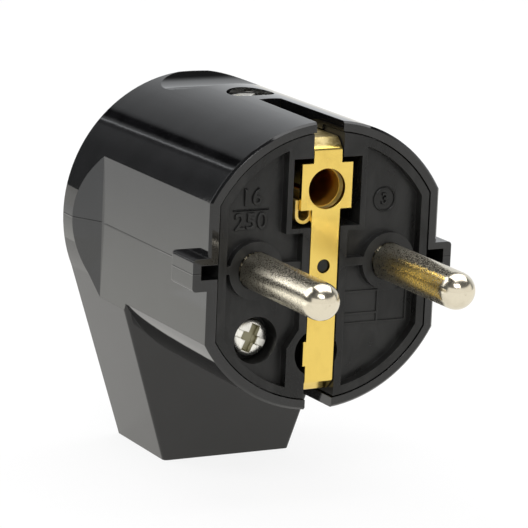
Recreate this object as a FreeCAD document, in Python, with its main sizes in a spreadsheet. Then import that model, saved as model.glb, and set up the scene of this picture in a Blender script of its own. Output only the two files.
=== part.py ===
import FreeCAD, Part
import os
import re
import Sketcher

# Angled rewirable type F mains plug, 16 A 250 V, in millimetres.
# The frame is that of a plug in a wall socket: the origin is where the line between the
# two pins crosses the middle of the rim's front plane, the pins point along -Y, +X is the
# right hand side seen from the front, +Z is up and the cable leaves downwards.

Vector = FreeCAD.Vector
Rotation = FreeCAD.Rotation

document = FreeCAD.newDocument("AngledPlug")
sheet = document.addObject("Spreadsheet::Sheet", "Sizes")

# Driving dimensions: name, millimetres, meaning

SIZES = [
    ("pin_spacing", 19.0, "between the axes of the two pins"),
    ("pin_radius", 2.4, "radius of a pin"),
    ("pin_reach", 19.0, "from the rim's front plane to a pin's tip"),
    ("pin_groove_radius", 2.15, "radius in the groove where a pin enters the carrier"),
    ("pin_groove_width", 0.6, "width of that groove"),
    ("pin_fit", 0.05, "clearance round a pin in the carrier"),
    ("pin_head_width", 7.2, "side of a pin's square terminal head"),
    ("pin_head_length", 9.0, "length of a pin's terminal head"),
    ("wire_hole_radius", 1.6, "hole for the conductor in a terminal head"),
    ("wire_hole_depth", 7.5, "depth of the conductor hole"),
    ("earth_height", 10.0, "earth contact hole above the line of the pins"),
    ("body_radius", 18.7, "radius of the round cover"),
    ("cover_clearance", 0.2, "between a terminal chamber and the cover's wall"),
    ("rear_land", 3.4, "full round behind the ramps of the side flats"),
    ("ramp_length", 4.4, "ramp from a side flat out to the full radius"),
    ("body_length", 39.5, "length of the cover from rim to back"),
    ("rear_round", 0.4, "easing of the cover's back edge"),
    ("rim_round", 0.3, "easing of the cover's front edge"),
    ("rim_wall", 1.3, "wall of the cover round the carrier plate"),
    ("body_wall", 2.0, "wall of the cover behind the carrier plate"),
    ("rear_wall", 2.0, "back wall of the cover"),
    ("neck_reach", 31.4, "from the line of the pins down to the neck's foot"),
    ("neck_half_width", 9.4, "half width of the neck's foot"),
    ("neck_tuck", 0.06, "how far the neck's sides reach into the round body"),
    ("neck_depth_high", 16.1, "depth of the neck at its top, from the cover's back"),
    ("neck_depth_low", 14.7, "depth of the neck at its foot"),
    ("neck_wall", 1.9, "wall of the neck"),
    ("neck_floor", 3.0, "thickness of the neck's foot"),
    ("neck_round", 0.6, "rounding of the neck's front edges"),
    ("cable_hole_radius", 4.3, "cable inlet in the neck's foot"),
    ("cable_to_back", 7.7, "cable inlet in front of the cover's back"),
    ("slot_front_width", 3.9, "earth clip slot at the rim"),
    ("slot_rear_width", 3.2, "earth clip slot at its rear end"),
    ("slot_length", 16.6, "length of the earth clip slots"),
    ("lug_stand", 2.15, "how far a guide lug stands out of its flat"),
    ("lug_height", 4.2, "height of a guide lug"),
    ("lug_length", 6.0, "length of a guide lug"),
    ("lug_wall", 1.15, "wall of a guide lug outside its slot"),
    ("lug_round", 0.5, "rounding of a guide lug"),
    ("lug_slot_height", 1.85, "height of the slot in a guide lug"),
    ("lug_slot_depth", 4.0, "depth of the slot in a guide lug"),
    ("rib_lift", 0.3, "middle of the lug slots and face ribs above the pins' line"),
    ("grip_radius", 13.0, "radius of the finger grip across the top"),
    ("grip_depth", 1.3, "depth of the finger grip"),
    ("grip_to_back", 5.8, "middle of the finger grip in front of the cover's back"),
    ("cover_screw_place", 22.2, "cover screw behind the rim"),
    ("cover_well_radius", 3.15, "well for the cover screw's head"),
    ("cover_seat_height", 16.2, "seat of the cover screw's head above the middle"),
    ("cover_boss_radius", 4.3, "boss under the cover screw's seat"),
    ("screw_clearance", 0.2, "clearance round a screw in a plain hole"),
    ("cover_screw_radius", 1.75, "radius of the cover screw"),
    ("cover_screw_length", 7.2, "shank of the cover screw"),
    ("cover_head_radius", 2.85, "head of the cover screw"),
    ("cover_head_height", 1.8, "head height of the cover screw"),
    ("nut_width", 5.5, "square nut across its flats"),
    ("nut_height", 2.4, "thickness of the square nut"),
    ("nut_clearance", 0.1, "clearance round the square nut"),
    ("carrier_gap", 0.15, "gap between carrier and rim"),
    ("carrier_set_back", 0.1, "carrier's front behind the rim's front plane"),
    ("plate_depth", 5.4, "thickness of the carrier plate"),
    ("recess_depth", 1.4, "depth of the sunk fields on the face"),
    ("carrier_rim", 1.1, "raised rim round the sunk fields"),
    ("frame_half_width", 5.6, "half width of the raised frame round the earth contact"),
    ("frame_low", 4.5, "lower edge of that frame"),
    ("pocket_half_width", 4.85, "half width of the earth pocket"),
    ("pocket_low", 5.1, "lower edge of the earth pocket"),
    ("pocket_high", 14.0, "upper edge of the earth pocket"),
    ("pocket_end", 9.6, "back of the earth pocket"),
    ("spine_half_width", 3.2, "half width of the raised spine beside the strip"),
    ("foot_half_width", 4.85, "half width of the spine's foot on the left"),
    ("foot_start", 8.0, "where the spine starts to widen, below the middle"),
    ("foot_full", 10.3, "where the spine is at its full foot width"),
    ("hollow_radius", 3.07, "round hollow behind the strip's foot"),
    ("hollow_shift", 0.6, "hollow left of the middle"),
    ("hollow_drop", 11.2, "hollow below the line of the pins"),
    ("hollow_depth", 4.0, "depth of the hollow"),
    ("boss_radius", 3.75, "raised ring round a pin"),
    ("rib_width", 1.05, "thin ribs along the line of the pins"),
    ("rib_drop", 0.25, "ribs and rings below the carrier's front"),
    ("mark_line", 0.25, "width of the raised lines round the empty marking fields"),
    ("mark_height", 0.2, "height of those lines"),
    ("mark_left", 3.7, "marking fields: left edge"),
    ("mark_divide", 8.7, "marking fields: dividing line"),
    ("mark_right", 13.0, "marking fields: right edge"),
    ("mark_high", 3.8, "marking fields: upper edge below the middle"),
    ("mark_low", 8.2, "marking fields: lower edge below the middle"),
    ("mark_inner_low", 6.7, "marking fields: lower edge of the small field"),
    ("screw_across", 8.6, "carrier screw left of the middle"),
    ("screw_drop", 9.3, "carrier screw below the line of the pins"),
    ("screw_well_radius", 3.05, "well for the carrier screw's head"),
    ("screw_seat_depth", 3.0, "seat of the carrier screw below the sunk field"),
    ("post_radius", 2.7, "posts behind the carrier plate"),
    ("carrier_screw_radius", 1.5, "radius of the carrier screw"),
    ("carrier_screw_back", 0.2, "carrier screw's end in front of the bridge boss's end"),
    ("carrier_head_radius", 2.45, "head of the carrier screw"),
    ("carrier_head_height", 1.8, "head height of the carrier screw"),
    ("block_wall", 0.9, "walls of the terminal chambers"),
    ("chamber_gap", 0.15, "gap between a terminal head and its chamber"),
    ("sleeve_block_half_width", 5.6, "half width of the block round the earth sleeve"),
    ("sleeve_block_low", 4.2, "underside of that block"),
    ("sleeve_block_high", 15.0, "top of that block"),
    ("sleeve_block_end", 11.2, "rear end of that block"),
    ("tongue_half_width", 4.6, "half width of the carrier's tongue"),
    ("tongue_top", 14.6, "top of the carrier's tongue"),
    ("tongue_thickness", 1.4, "thickness of the tongue"),
    ("tongue_end", 26.5, "rear end of the tongue"),
    ("nut_box_start", 18.5, "front of the nut's housing under the tongue"),
    ("nut_box_low", 9.9, "underside of the nut's housing"),
    ("nut_roof", 1.3, "material over the nut"),
    ("leg_low", 14.0, "underside of the carrier's leg below the middle"),
    ("leg_high", 10.5, "top of the carrier's leg below the middle"),
    ("leg_half_width", 4.0, "half width of the leg"),
    ("saddle_depth", 3.0, "thickness of the cord saddle"),
    ("saddle_half_width", 8.6, "half width of the cord saddle"),
    ("cord_radius", 4.0, "cord that the saddle is hollowed for"),
    ("cord_bite", 1.5, "how deep the cord lies in the saddle and the bar"),
    ("cord_shift", 1.4, "clamped cord in front of the middle of the cable inlet"),
    ("clamp_half_width", 8.0, "half length of the clamp bar"),
    ("clamp_thickness", 2.5, "thickness of the clamp bar"),
    ("clamp_screw_across", 6.2, "clamp screws from the middle"),
    ("clamp_screw_radius", 1.5, "radius of a clamp screw"),
    ("clamp_screw_back", 0.3, "clamp screws' ends behind the saddle's front"),
    ("clamp_head_radius", 1.7, "head of a clamp screw"),
    ("clamp_head_height", 1.6, "head height of a clamp screw"),
    ("bridge_thickness", 2.0, "thickness of the bridge behind the terminal heads"),
    ("bridge_high", 3.6, "top of the bridge"),
    ("bridge_low", 4.6, "underside of the bridge below the middle"),
    ("bridge_ear_half_width", 2.8, "half width of an ear of the bridge"),
    ("bridge_boss_length", 1.2, "boss round the carrier screw behind the bridge"),
    ("bridge_boss_radius", 2.38, "radius of that boss"),
    ("bridge_wire_radius", 2.2, "holes in the bridge for the conductors"),
    ("peg_radius", 1.4, "locating pegs"),
    ("peg_clearance", 0.1, "clearance round a peg"),
    ("strip_thickness", 0.6, "sheet brass of the earth strip"),
    ("strip_set_back", 0.2, "strip's front behind the rim's front plane"),
    ("strip_half_width", 2.0, "half width of the strip"),
    ("strip_gap", 0.15, "gap between the strip and its channel"),
    ("shoulder_half_width", 3.6, "half width of the strip at the earth hole"),
    ("shoulder_low", 7.35, "lower edge of the wide part"),
    ("shoulder_high", 13.3, "upper edge of the wide part"),
    ("strip_hole_radius", 2.6, "hole in the strip for the earth pin"),
    ("strip_peg_hole_radius", 0.9, "small hole in the strip for the carrier's peg"),
    ("strip_peg_radius", 0.75, "carrier's peg in the strip's small hole"),
    ("bump_high", 9.7, "upper end of the strip's side bump below the middle"),
    ("bump_low", 12.9, "lower end of the strip's side bump"),
    ("bump_width", 0.4, "how far the bump stands out"),
    ("strip_level", 16.4, "outer face of the strip's bent ends"),
    ("strip_bend", 1.4, "length of the slanted bend"),
    ("strip_end", 13.0, "rear ends of the strip"),
    ("sleeve_radius", 2.5, "inner radius of the earth sleeve"),
    ("sleeve_wall", 0.6, "sheet brass of the earth sleeve"),
    ("sleeve_start", 1.7, "front of the earth sleeve"),
    ("sleeve_end", 12.5, "rear end of the earth sleeve"),
    ("sleeve_slit", 0.8, "open seam of the rolled sleeve"),
    ("sleeve_fit", 0.05, "clearance round the earth sleeve"),
    ("curl_radius", 1.2, "curled contact tail at the sleeve's front"),
    ("curl_wall", 0.45, "sheet of the curled tail"),
    ("curl_across", 2.9, "middle of the curl left of the sleeve's axis"),
    ("curl_drop", 3.3, "middle of the curl below the sleeve's axis"),
    ("curl_rise", 1.9, "free arm of the curl above its middle"),
    ("curl_root", 1.3, "arm that joins the curl to the sleeve"),
    ("curl_length", 2.6, "length of the curl along the pins"),
    ("tab_half_width", 2.4, "half width of the sleeve's terminal tab"),
    ("tab_end", 18.0, "rear end of the terminal tab"),
    ("tab_screw_place", 15.3, "earth terminal screw behind the rim"),
    ("washer_width", 5.0, "side of the square earth washer"),
    ("washer_thickness", 1.0, "thickness of the square earth washer"),
    ("terminal_screw_radius", 1.5, "radius of a terminal screw"),
    ("terminal_head_radius", 2.5, "head of a terminal screw"),
    ("terminal_head_height", 1.8, "head height of a terminal screw"),
    ("terminal_screw_back", 4.3, "line terminal screws in front of the heads' rear ends"),
    ("terminal_screw_reach", 0.4, "how far a terminal screw reaches past its pin's axis"),
    ("crown_height", 0.8, "height of the sloped crown of a screw's head"),
    ("crown_width", 1.05, "width of that crown"),
    ("recess_width", 0.7, "arm width of a screw's cross recess"),
    ("recess_share", 0.72, "reach of the recess as a share of the head"),
    ("recess_sink", 0.9, "depth of a screw's cross recess"),
]

# Sizes that follow from the ones above

FOLLOWING = [
    ("head_end", "carrier_set_back + plate_depth + pin_head_length", "rear ends of the terminal heads"),
    ("flat_offset",
     "pin_spacing / 2 + pin_head_width / 2 + chamber_gap + block_wall + cover_clearance + body_wall",
     "from the middle to a side flat"),
    ("flat_length", "body_length - rear_land - ramp_length", "length of the side flats from the front"),
    ("lug_reach", "flat_offset + lug_stand", "from the middle to a guide lug's outer face"),
    ("neck_front_high", "body_length - neck_depth_high", "neck's front face at its top"),
    ("neck_front_low", "body_length - neck_depth_low", "neck's front face at its foot"),
    ("cable_place", "body_length - cable_to_back", "cable inlet behind the rim's front plane"),
    ("grip_place", "body_length - grip_to_back", "middle of the finger grip behind the rim"),
    ("cord_place", "cable_place - cord_shift", "clamped cord behind the rim's front plane"),
    ("saddle_end", "cord_place - cord_radius + cord_bite", "back of the cord saddle"),
    ("saddle_start", "saddle_end - saddle_depth", "front of the cord saddle"),
    ("clamp_start", "cord_place + cord_radius - cord_bite", "front of the clamp bar"),
    ("clamp_screw_length", "clamp_start + clamp_thickness - saddle_start - clamp_screw_back",
     "shank of a clamp screw"),
    ("screw_seat", "carrier_set_back + recess_depth + screw_seat_depth", "seat of the carrier screw's head"),
    ("carrier_screw_length",
     "head_end + bridge_thickness + bridge_boss_length - carrier_screw_back - screw_seat",
     "shank of the carrier screw"),
    ("terminal_screw_place", "head_end - terminal_screw_back", "line terminal screws behind the rim"),
]

rows = [(alias, str(value), meaning) for alias, value, meaning in SIZES]
rows += [(alias, f"={formula}", meaning) for alias, formula, meaning in FOLLOWING]
for line, (alias, content, meaning) in enumerate(rows, start=1):
    sheet.set(f"A{line}", meaning)
    sheet.setAlias(f"B{line}", alias)
    sheet.set(f"B{line}", content)
document.recompute()

ALIAS = re.compile(r"\b(" + "|".join(sorted((row[0] for row in rows), key=len, reverse=True)) + r")\b")

# Turns of a piece that is drawn facing up

FACING_UP = Rotation()
FACING_DOWN = Rotation(Vector(1, 0, 0), 180)
FACING_FRONT = Rotation(Vector(1, 0, 0), 90)
FACING_BACK = Rotation(Vector(1, 0, 0), -90)

# Places that several pieces share, written with the sheet's names

PLATE_BACK = "(carrier_set_back + plate_depth)"
FIELD = "(carrier_set_back + recess_depth)"
PIN_PLACE = "(pin_spacing / 2)"
STRIP_BACK = "(strip_set_back + strip_thickness)"
SLEEVE_OUTER = "(sleeve_radius + sleeve_wall)"
TAB_UNDERSIDE = f"(earth_height - {SLEEVE_OUTER})"
TONGUE_UNDERSIDE = "(tongue_top - tongue_thickness)"
CHAMBER_HALF = "(pin_head_width / 2 + chamber_gap)"
CLAMP_HEIGHT = "((leg_low + leg_high) / 2)"
CLAMP_BACK = "(clamp_start + clamp_thickness)"
NUT_TOP = "(tongue_top - nut_roof)"

# The neck's sides just graze the round body, and their upper ends are the touching points

NECK_SLANT = "(neck_half_width ^ 2 + neck_reach ^ 2)"
TOUCH_RADIUS = "(body_radius - neck_tuck)"
NECK_SWEEP = f"({TOUCH_RADIUS} * sqrt({NECK_SLANT} - {TOUCH_RADIUS} ^ 2) / {NECK_SLANT})"
TOUCH_X = f"({TOUCH_RADIUS} ^ 2 / {NECK_SLANT} * neck_half_width + {NECK_SWEEP} * neck_reach)"
TOUCH_DROP = f"({TOUCH_RADIUS} ^ 2 / {NECK_SLANT} * neck_reach - {NECK_SWEEP} * neck_half_width)"
NECK_SLOPE = f"(({TOUCH_X} - neck_half_width) / (neck_reach - {TOUCH_DROP}))"
CAVITY_HALF = "(flat_offset - body_wall)"
CAVITY_FOOT = f"(neck_half_width + {NECK_SLOPE} * neck_floor - neck_wall * sqrt(1 + {NECK_SLOPE} ^ 2))"
CAVITY_TOP = f"(neck_reach - neck_floor - ({CAVITY_HALF} - {CAVITY_FOOT}) / {NECK_SLOPE})"


def named(expression):
    """Writes the sheet's names in an expression the way the document reads them."""
    return ALIAS.sub(r"Sizes.\1", expression)


def worth(expression):
    """The number that an expression of the sheet's names stands for."""
    return float(sheet.evalExpression(named(expression)))


def bind(thing, **expressions):
    """Binds properties of an object to expressions; a double underscore is a dot."""
    for path, expression in expressions.items():
        thing.setExpression(path.replace("__", "."), named(expression))


def new_body(name):
    body = document.addObject("PartDesign::Body", name)
    body.Label = name
    return body


def sketch_on(body, plane, offset, name):
    """A sketch on one of the body's own origin planes, moved along the plane's normal."""
    sketch = body.newObject("Sketcher::SketchObject", name)
    support = [item for item in body.Origin.OriginFeatures if item.Role == plane][0]
    sketch.AttachmentSupport = [(support, "")]
    sketch.MapMode = "FlatFace"
    bind(sketch, AttachmentOffset__Base__z=offset)
    return sketch


def front_sketch(body, depth, name):
    """A sketch seen from the front, at a depth behind the rim's front plane."""
    return sketch_on(body, "XZ_Plane", f"-({depth})", name)


def plan_sketch(body, height, name):
    return sketch_on(body, "XY_Plane", height, name)


def side_sketch(body, name):
    return sketch_on(body, "YZ_Plane", "0", name)


def tie(sketch, kind, first, first_point, second, second_point, expression):
    """Adds a distance constraint whose value is bound to an expression."""
    value = worth(expression)
    constraint = Sketcher.Constraint(kind, first, first_point, second, second_point, value)
    index = sketch.addConstraint(constraint)
    sketch.setExpression(f"Constraints[{index}]", named(expression))


def outline(sketch, corners):
    """A closed outline of straight lines through corners given as two expressions each."""
    places = [Vector(worth(across), worth(up), 0) for across, up in corners]
    count = len(corners)
    first = sketch.GeometryCount
    for index in range(count):
        sketch.addGeometry(Part.LineSegment(places[index], places[(index + 1) % count]), False)
    for index in range(count):
        following = first + (index + 1) % count
        sketch.addConstraint(Sketcher.Constraint("Coincident", first + index, 2, following, 1))
    for index, (across, up) in enumerate(corners):
        tie(sketch, "DistanceX", -1, 1, first + index, 1, across)
        tie(sketch, "DistanceY", -1, 1, first + index, 1, up)


def rectangle(sketch, left, right, low, high):
    outline(sketch, [(left, low), (right, low), (right, high), (left, high)])


def disc(sketch, across, up, radius):
    """A circle whose centre and radius are bound to expressions."""
    centre = Vector(worth(across), worth(up), 0)
    index = sketch.addGeometry(Part.Circle(centre, Vector(0, 0, 1), worth(radius)), False)
    tie(sketch, "DistanceX", -1, 1, index, 3, across)
    tie(sketch, "DistanceY", -1, 1, index, 3, up)
    bound = sketch.addConstraint(Sketcher.Constraint("Radius", index, worth(radius)))
    sketch.setExpression(f"Constraints[{bound}]", named(radius))


def flatted_disc(sketch, radius, flat):
    """A circle round the origin with its left and right sides cut flat."""
    reach, half = worth(radius), worth(flat)
    height = (reach ** 2 - half ** 2) ** 0.5
    right = sketch.addGeometry(Part.LineSegment(Vector(half, -height, 0), Vector(half, height, 0)), False)
    top = sketch.addGeometry(
        Part.Arc(Vector(half, height, 0), Vector(0, reach, 0), Vector(-half, height, 0)), False)
    left = sketch.addGeometry(Part.LineSegment(Vector(-half, height, 0), Vector(-half, -height, 0)), False)
    low = sketch.addGeometry(
        Part.Arc(Vector(-half, -height, 0), Vector(0, -reach, 0), Vector(half, -height, 0)), False)
    joints = ((right, 2, top, 1), (left, 1, top, 2), (left, 2, low, 1), (right, 1, low, 2))
    for line, point, arc, end in joints:
        sketch.addConstraint(Sketcher.Constraint("Coincident", line, point, arc, end))
    for arc in (top, low):
        sketch.addConstraint(Sketcher.Constraint("Coincident", arc, 3, -1, 1))
    sketch.addConstraint(Sketcher.Constraint("Vertical", right))
    sketch.addConstraint(Sketcher.Constraint("Vertical", left))
    bound = sketch.addConstraint(Sketcher.Constraint("Radius", top, reach))
    sketch.setExpression(f"Constraints[{bound}]", named(radius))
    tie(sketch, "DistanceX", -1, 1, right, 1, flat)
    tie(sketch, "DistanceX", -1, 1, left, 1, f"-({flat})")


def half_hook(sketch, across, up, outer, inner):
    """The lower half of a ring, closed by two short lines."""
    x, z, reach, hollow = worth(across), worth(up), worth(outer), worth(inner)
    big = sketch.addGeometry(
        Part.Arc(Vector(x - reach, z, 0), Vector(x, z - reach, 0), Vector(x + reach, z, 0)), False)
    small = sketch.addGeometry(
        Part.Arc(Vector(x - hollow, z, 0), Vector(x, z - hollow, 0), Vector(x + hollow, z, 0)), False)
    left = sketch.addGeometry(Part.LineSegment(Vector(x - reach, z, 0), Vector(x - hollow, z, 0)), False)
    right = sketch.addGeometry(Part.LineSegment(Vector(x + hollow, z, 0), Vector(x + reach, z, 0)), False)
    joints = ((left, 1, big, 1), (left, 2, small, 1), (right, 1, small, 2), (right, 2, big, 2))
    for line, point, arc, end in joints:
        sketch.addConstraint(Sketcher.Constraint("Coincident", line, point, arc, end))
    sketch.addConstraint(Sketcher.Constraint("Coincident", big, 3, small, 3))
    sketch.addConstraint(Sketcher.Constraint("Horizontal", left))
    sketch.addConstraint(Sketcher.Constraint("Horizontal", right))
    for arc, radius in ((big, outer), (small, inner)):
        bound = sketch.addConstraint(Sketcher.Constraint("Radius", arc, worth(radius)))
        sketch.setExpression(f"Constraints[{bound}]", named(radius))
    tie(sketch, "DistanceX", -1, 1, big, 3, across)
    tie(sketch, "DistanceY", -1, 1, big, 3, up)


def pad(body, sketch, length, away=True, name="Pad"):
    """Extrudes a sketch; away is +Y for a front sketch and +Z for a plan sketch."""
    feature = body.newObject("PartDesign::Pad", name)
    feature.Profile = sketch
    from_front = "XZ" in sketch.AttachmentSupport[0][0].Role
    feature.Reversed = away if from_front else not away
    bind(feature, Length=length)
    return feature


def across(body, kind, sketch, length, name):
    """A pad or pocket of a side sketch, even on both sides of the middle plane."""
    feature = body.newObject(f"PartDesign::{kind}", name)
    feature.Profile = sketch
    feature.SideType = "Symmetric"
    bind(feature, Length=length)
    return feature


def pocket(body, sketch, length, name="Pocket"):
    """Cuts a sketch: backwards from a front sketch, downwards from a plan sketch."""
    feature = body.newObject("PartDesign::Pocket", name)
    feature.Profile = sketch
    bind(feature, Length=length)
    return feature


def ease(body, kind, base, chosen, size, name):
    """Rounds or chamfers the edges of the last feature for which chosen answers yes."""
    document.recompute()
    names = [f"Edge{n}" for n, edge in enumerate(base.Shape.Edges, start=1) if chosen(edge)]
    feature = body.newObject(f"PartDesign::{kind}", name)
    feature.Base = (base, names)
    if kind == "Fillet":
        bind(feature, Radius=size)
    else:
        bind(feature, Size=size)
    return feature


def lies_at(edge, axis, value):
    """Whether the whole edge lies in the plane where x, y or z has this value."""
    low = edge.BoundBox.getPoint(0)
    high = edge.BoundBox.getPoint(6)
    return abs(low[axis] - value) < 1e-4 and abs(high[axis] - value) < 1e-4


# Cover with its cable neck

def make_cover():
    body = new_body("cover")

    # The neck widens upwards until its sides touch the round body, and its front leans back
    neck = front_sketch(body, "neck_front_high", "neck_outline")
    outline(neck, [
        ("-neck_half_width", "-neck_reach"),
        ("neck_half_width", "-neck_reach"),
        (TOUCH_X, f"-{TOUCH_DROP}"),
        (f"-{TOUCH_X}", f"-{TOUCH_DROP}"),
    ])
    pad(body, neck, "body_length - neck_front_high", name="neck")
    lean = side_sketch(body, "neck_lean")
    outline(lean, [
        ("neck_front_high - 1", f"-{TOUCH_DROP}"),
        ("neck_front_high", f"-{TOUCH_DROP}"),
        ("neck_front_low", "-neck_reach"),
        ("neck_front_low", "-neck_reach - 1"),
        ("neck_front_high - 1", "-neck_reach - 1"),
    ])
    leaning = across(body, "Pocket", lean, "4 * body_radius", "neck_front")

    def neck_edge(edge):
        tall = edge.BoundBox.ZLength > worth("neck_reach") / 2
        return tall and edge.CenterOfMass.y < worth("neck_front_low")
    ease(body, "Fillet", leaning, neck_edge, "neck_round", "neck_edges")

    round_body = front_sketch(body, "0", "body_circle")
    disc(round_body, "0", "0", "body_radius")
    barrel = pad(body, round_body, "body_length", name="barrel")
    rear, foot_level = worth("body_length"), -worth("neck_reach")

    def rear_edge(edge):
        return lies_at(edge, 1, rear) and not lies_at(edge, 2, foot_level)
    ease(body, "Chamfer", barrel, rear_edge, "rear_round", "rear_edges")

    # Side flats, which run out to the full radius in a ramp
    flats = plan_sketch(body, "0", "side_flats")
    for side in ("", "-"):
        outline(flats, [
            (f"{side}flat_offset", "-1"),
            (f"{side}flat_offset", "flat_length"),
            (f"{side}body_radius", "flat_length + ramp_length"),
            (f"{side}(body_radius + 2)", "flat_length + ramp_length"),
            (f"{side}(body_radius + 2)", "-1"),
        ])
    sides = across(body, "Pocket", flats, "4 * body_radius", "flats")

    def front_rim(edge):
        return lies_at(edge, 1, 0.0)
    ease(body, "Chamfer", sides, front_rim, "rim_round", "rim_edges")

    # Guide lugs on the flats
    lugs = front_sketch(body, "0", "lug_faces")
    for side in ("", "-"):
        near, far = f"{side}(flat_offset - rim_wall / 2)", f"{side}lug_reach"
        outline(lugs, [(near, "-lug_height / 2"), (far, "-lug_height / 2"),
                       (far, "lug_height / 2"), (near, "lug_height / 2")])
    lug_pad = pad(body, lugs, "lug_length", name="lugs")
    reach = worth("lug_reach")

    def lug_edge(edge):
        return (lies_at(edge, 0, reach) or lies_at(edge, 0, -reach)) and edge.BoundBox.YLength > 1.0
    ease(body, "Fillet", lug_pad, lug_edge, "lug_round", "lug_edges")

    # Seat of the carrier plate, and the hollow behind it
    seat = front_sketch(body, "0", "plate_seat")
    flatted_disc(seat, "body_radius - rim_wall", "flat_offset - rim_wall")
    pocket(body, seat, PLATE_BACK, "plate_seat_cut")
    hollow = front_sketch(body, PLATE_BACK, "hollow_face")
    flatted_disc(hollow, "body_radius - body_wall", CAVITY_HALF)
    pocket(body, hollow, f"body_length - rear_wall - {PLATE_BACK}", "hollow_cut")

    neck_inside = front_sketch(body, "neck_front_low + neck_wall", "neck_inside")
    outline(neck_inside, [
        (f"-{CAVITY_FOOT}", "neck_floor - neck_reach"),
        (CAVITY_FOOT, "neck_floor - neck_reach"),
        (CAVITY_HALF, f"-{CAVITY_TOP}"),
        (f"-{CAVITY_HALF}", f"-{CAVITY_TOP}"),
    ])
    pocket(body, neck_inside, "neck_depth_low - neck_wall - rear_wall", "neck_hollow")

    inlet = plan_sketch(body, "neck_floor - neck_reach + 1", "inlet_circle")
    disc(inlet, "0", "cable_place", "cable_hole_radius")
    pocket(body, inlet, "neck_floor + 2", "cable_inlet")

    # Boss and well of the cover screw
    boss = plan_sketch(body, "tongue_top", "boss_circle")
    disc(boss, "0", "cover_screw_place", "cover_boss_radius")
    pad(body, boss, "body_radius - body_wall / 2 - tongue_top", name="boss")
    well = plan_sketch(body, "body_radius + 1", "well_circle")
    disc(well, "0", "cover_screw_place", "cover_well_radius")
    pocket(body, well, "body_radius + 1 - cover_seat_height", "well_cut")
    hole = plan_sketch(body, "body_radius + 1", "hole_circle")
    disc(hole, "0", "cover_screw_place", "cover_screw_radius + screw_clearance")
    pocket(body, hole, "body_radius + 2 - tongue_top", "hole_cut")

    # Finger grip across the top
    grip = side_sketch(body, "grip_circle")
    disc(grip, "grip_place", "body_radius - grip_depth + grip_radius", "grip_radius")
    across(body, "Pocket", grip, "2 * body_radius", "grip")

    # Slots for the socket's earth clips, above and below
    slot_depth = "body_radius + 1 - sqrt((body_radius - body_wall) ^ 2 - slot_front_width ^ 2) + 1"
    for name, height in (("upper", "body_radius + 1"), ("lower", f"-(body_radius + 1) + ({slot_depth})")):
        slot = plan_sketch(body, height, f"{name}_slot")
        outline(slot, [
            ("-slot_front_width / 2", "-1"),
            ("slot_front_width / 2", "-1"),
            ("slot_rear_width / 2", "slot_length"),
            ("-slot_rear_width / 2", "slot_length"),
        ])
        pocket(body, slot, slot_depth, f"{name}_slot_cut")

    # Slots in the guide lugs, open towards the carrier
    slits = front_sketch(body, "0", "lug_slots")
    for side in ("", "-"):
        near = f"{side}(flat_offset - rim_wall - carrier_gap)"
        far = f"{side}(lug_reach - lug_wall)"
        low_edge, high_edge = "rib_lift - lug_slot_height / 2", "rib_lift + lug_slot_height / 2"
        outline(slits, [(near, low_edge), (far, low_edge), (far, high_edge), (near, high_edge)])
    pocket(body, slits, "lug_slot_depth", "lug_slots_cut")
    return body


# Contact carrier: the face with everything that stands behind it

def make_sunk_fields():
    """The material taken away between the carrier's rim, spine, rings and ribs."""
    body = new_body("sunk_fields")
    field = front_sketch(body, "carrier_set_back", "field_face")
    flatted_disc(field, "body_radius - rim_wall - carrier_gap - carrier_rim",
                 "flat_offset - rim_wall - carrier_gap - carrier_rim")
    pad(body, field, "recess_depth", name="field")

    spine = front_sketch(body, "0", "spine_outline")
    outline(spine, [
        ("-frame_half_width", "body_radius"),
        ("-frame_half_width", "frame_low"),
        ("-spine_half_width", "frame_low"),
        ("-spine_half_width", "-foot_start"),
        ("-foot_half_width", "-foot_full"),
        ("-foot_half_width", "-body_radius"),
        ("spine_half_width", "-body_radius"),
        ("spine_half_width", "frame_low"),
        ("frame_half_width", "frame_low"),
        ("frame_half_width", "body_radius"),
    ])
    pocket(body, spine, f"{FIELD} + 1", "spine")

    for side, name in (("-", "left"), ("", "right")):
        ring = front_sketch(body, "carrier_set_back + rib_drop", f"{name}_ring_circle")
        disc(ring, f"{side}{PIN_PLACE}", "0", "boss_radius")
        pocket(body, ring, FIELD, f"{name}_ring")
    ribs = front_sketch(body, "carrier_set_back + rib_drop", "rib_outline")
    rectangle(ribs, "-body_radius", "body_radius", "rib_lift - rib_width / 2", "rib_lift + rib_width / 2")
    pocket(body, ribs, FIELD, "ribs")

    # Raised lines round two empty marking fields, with a smaller one in the first
    marks = front_sketch(body, f"{FIELD} - mark_height", "mark_lines")
    inset = "mark_line"
    rectangle(marks, "mark_left", "mark_right", "-mark_low", "-mark_high")
    rectangle(marks, f"mark_left + {inset}", f"mark_divide - {inset} / 2",
              f"{inset} - mark_low", f"-mark_inner_low - {inset}")
    rectangle(marks, f"mark_left + {inset}", f"mark_divide - {inset} / 2",
              "-mark_inner_low", f"-mark_high - {inset}")
    rectangle(marks, f"mark_divide + {inset} / 2", f"mark_right - {inset}",
              f"{inset} - mark_low", f"-mark_high - {inset}")
    pocket(body, marks, "mark_height + 1", "marks")
    return body


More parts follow.
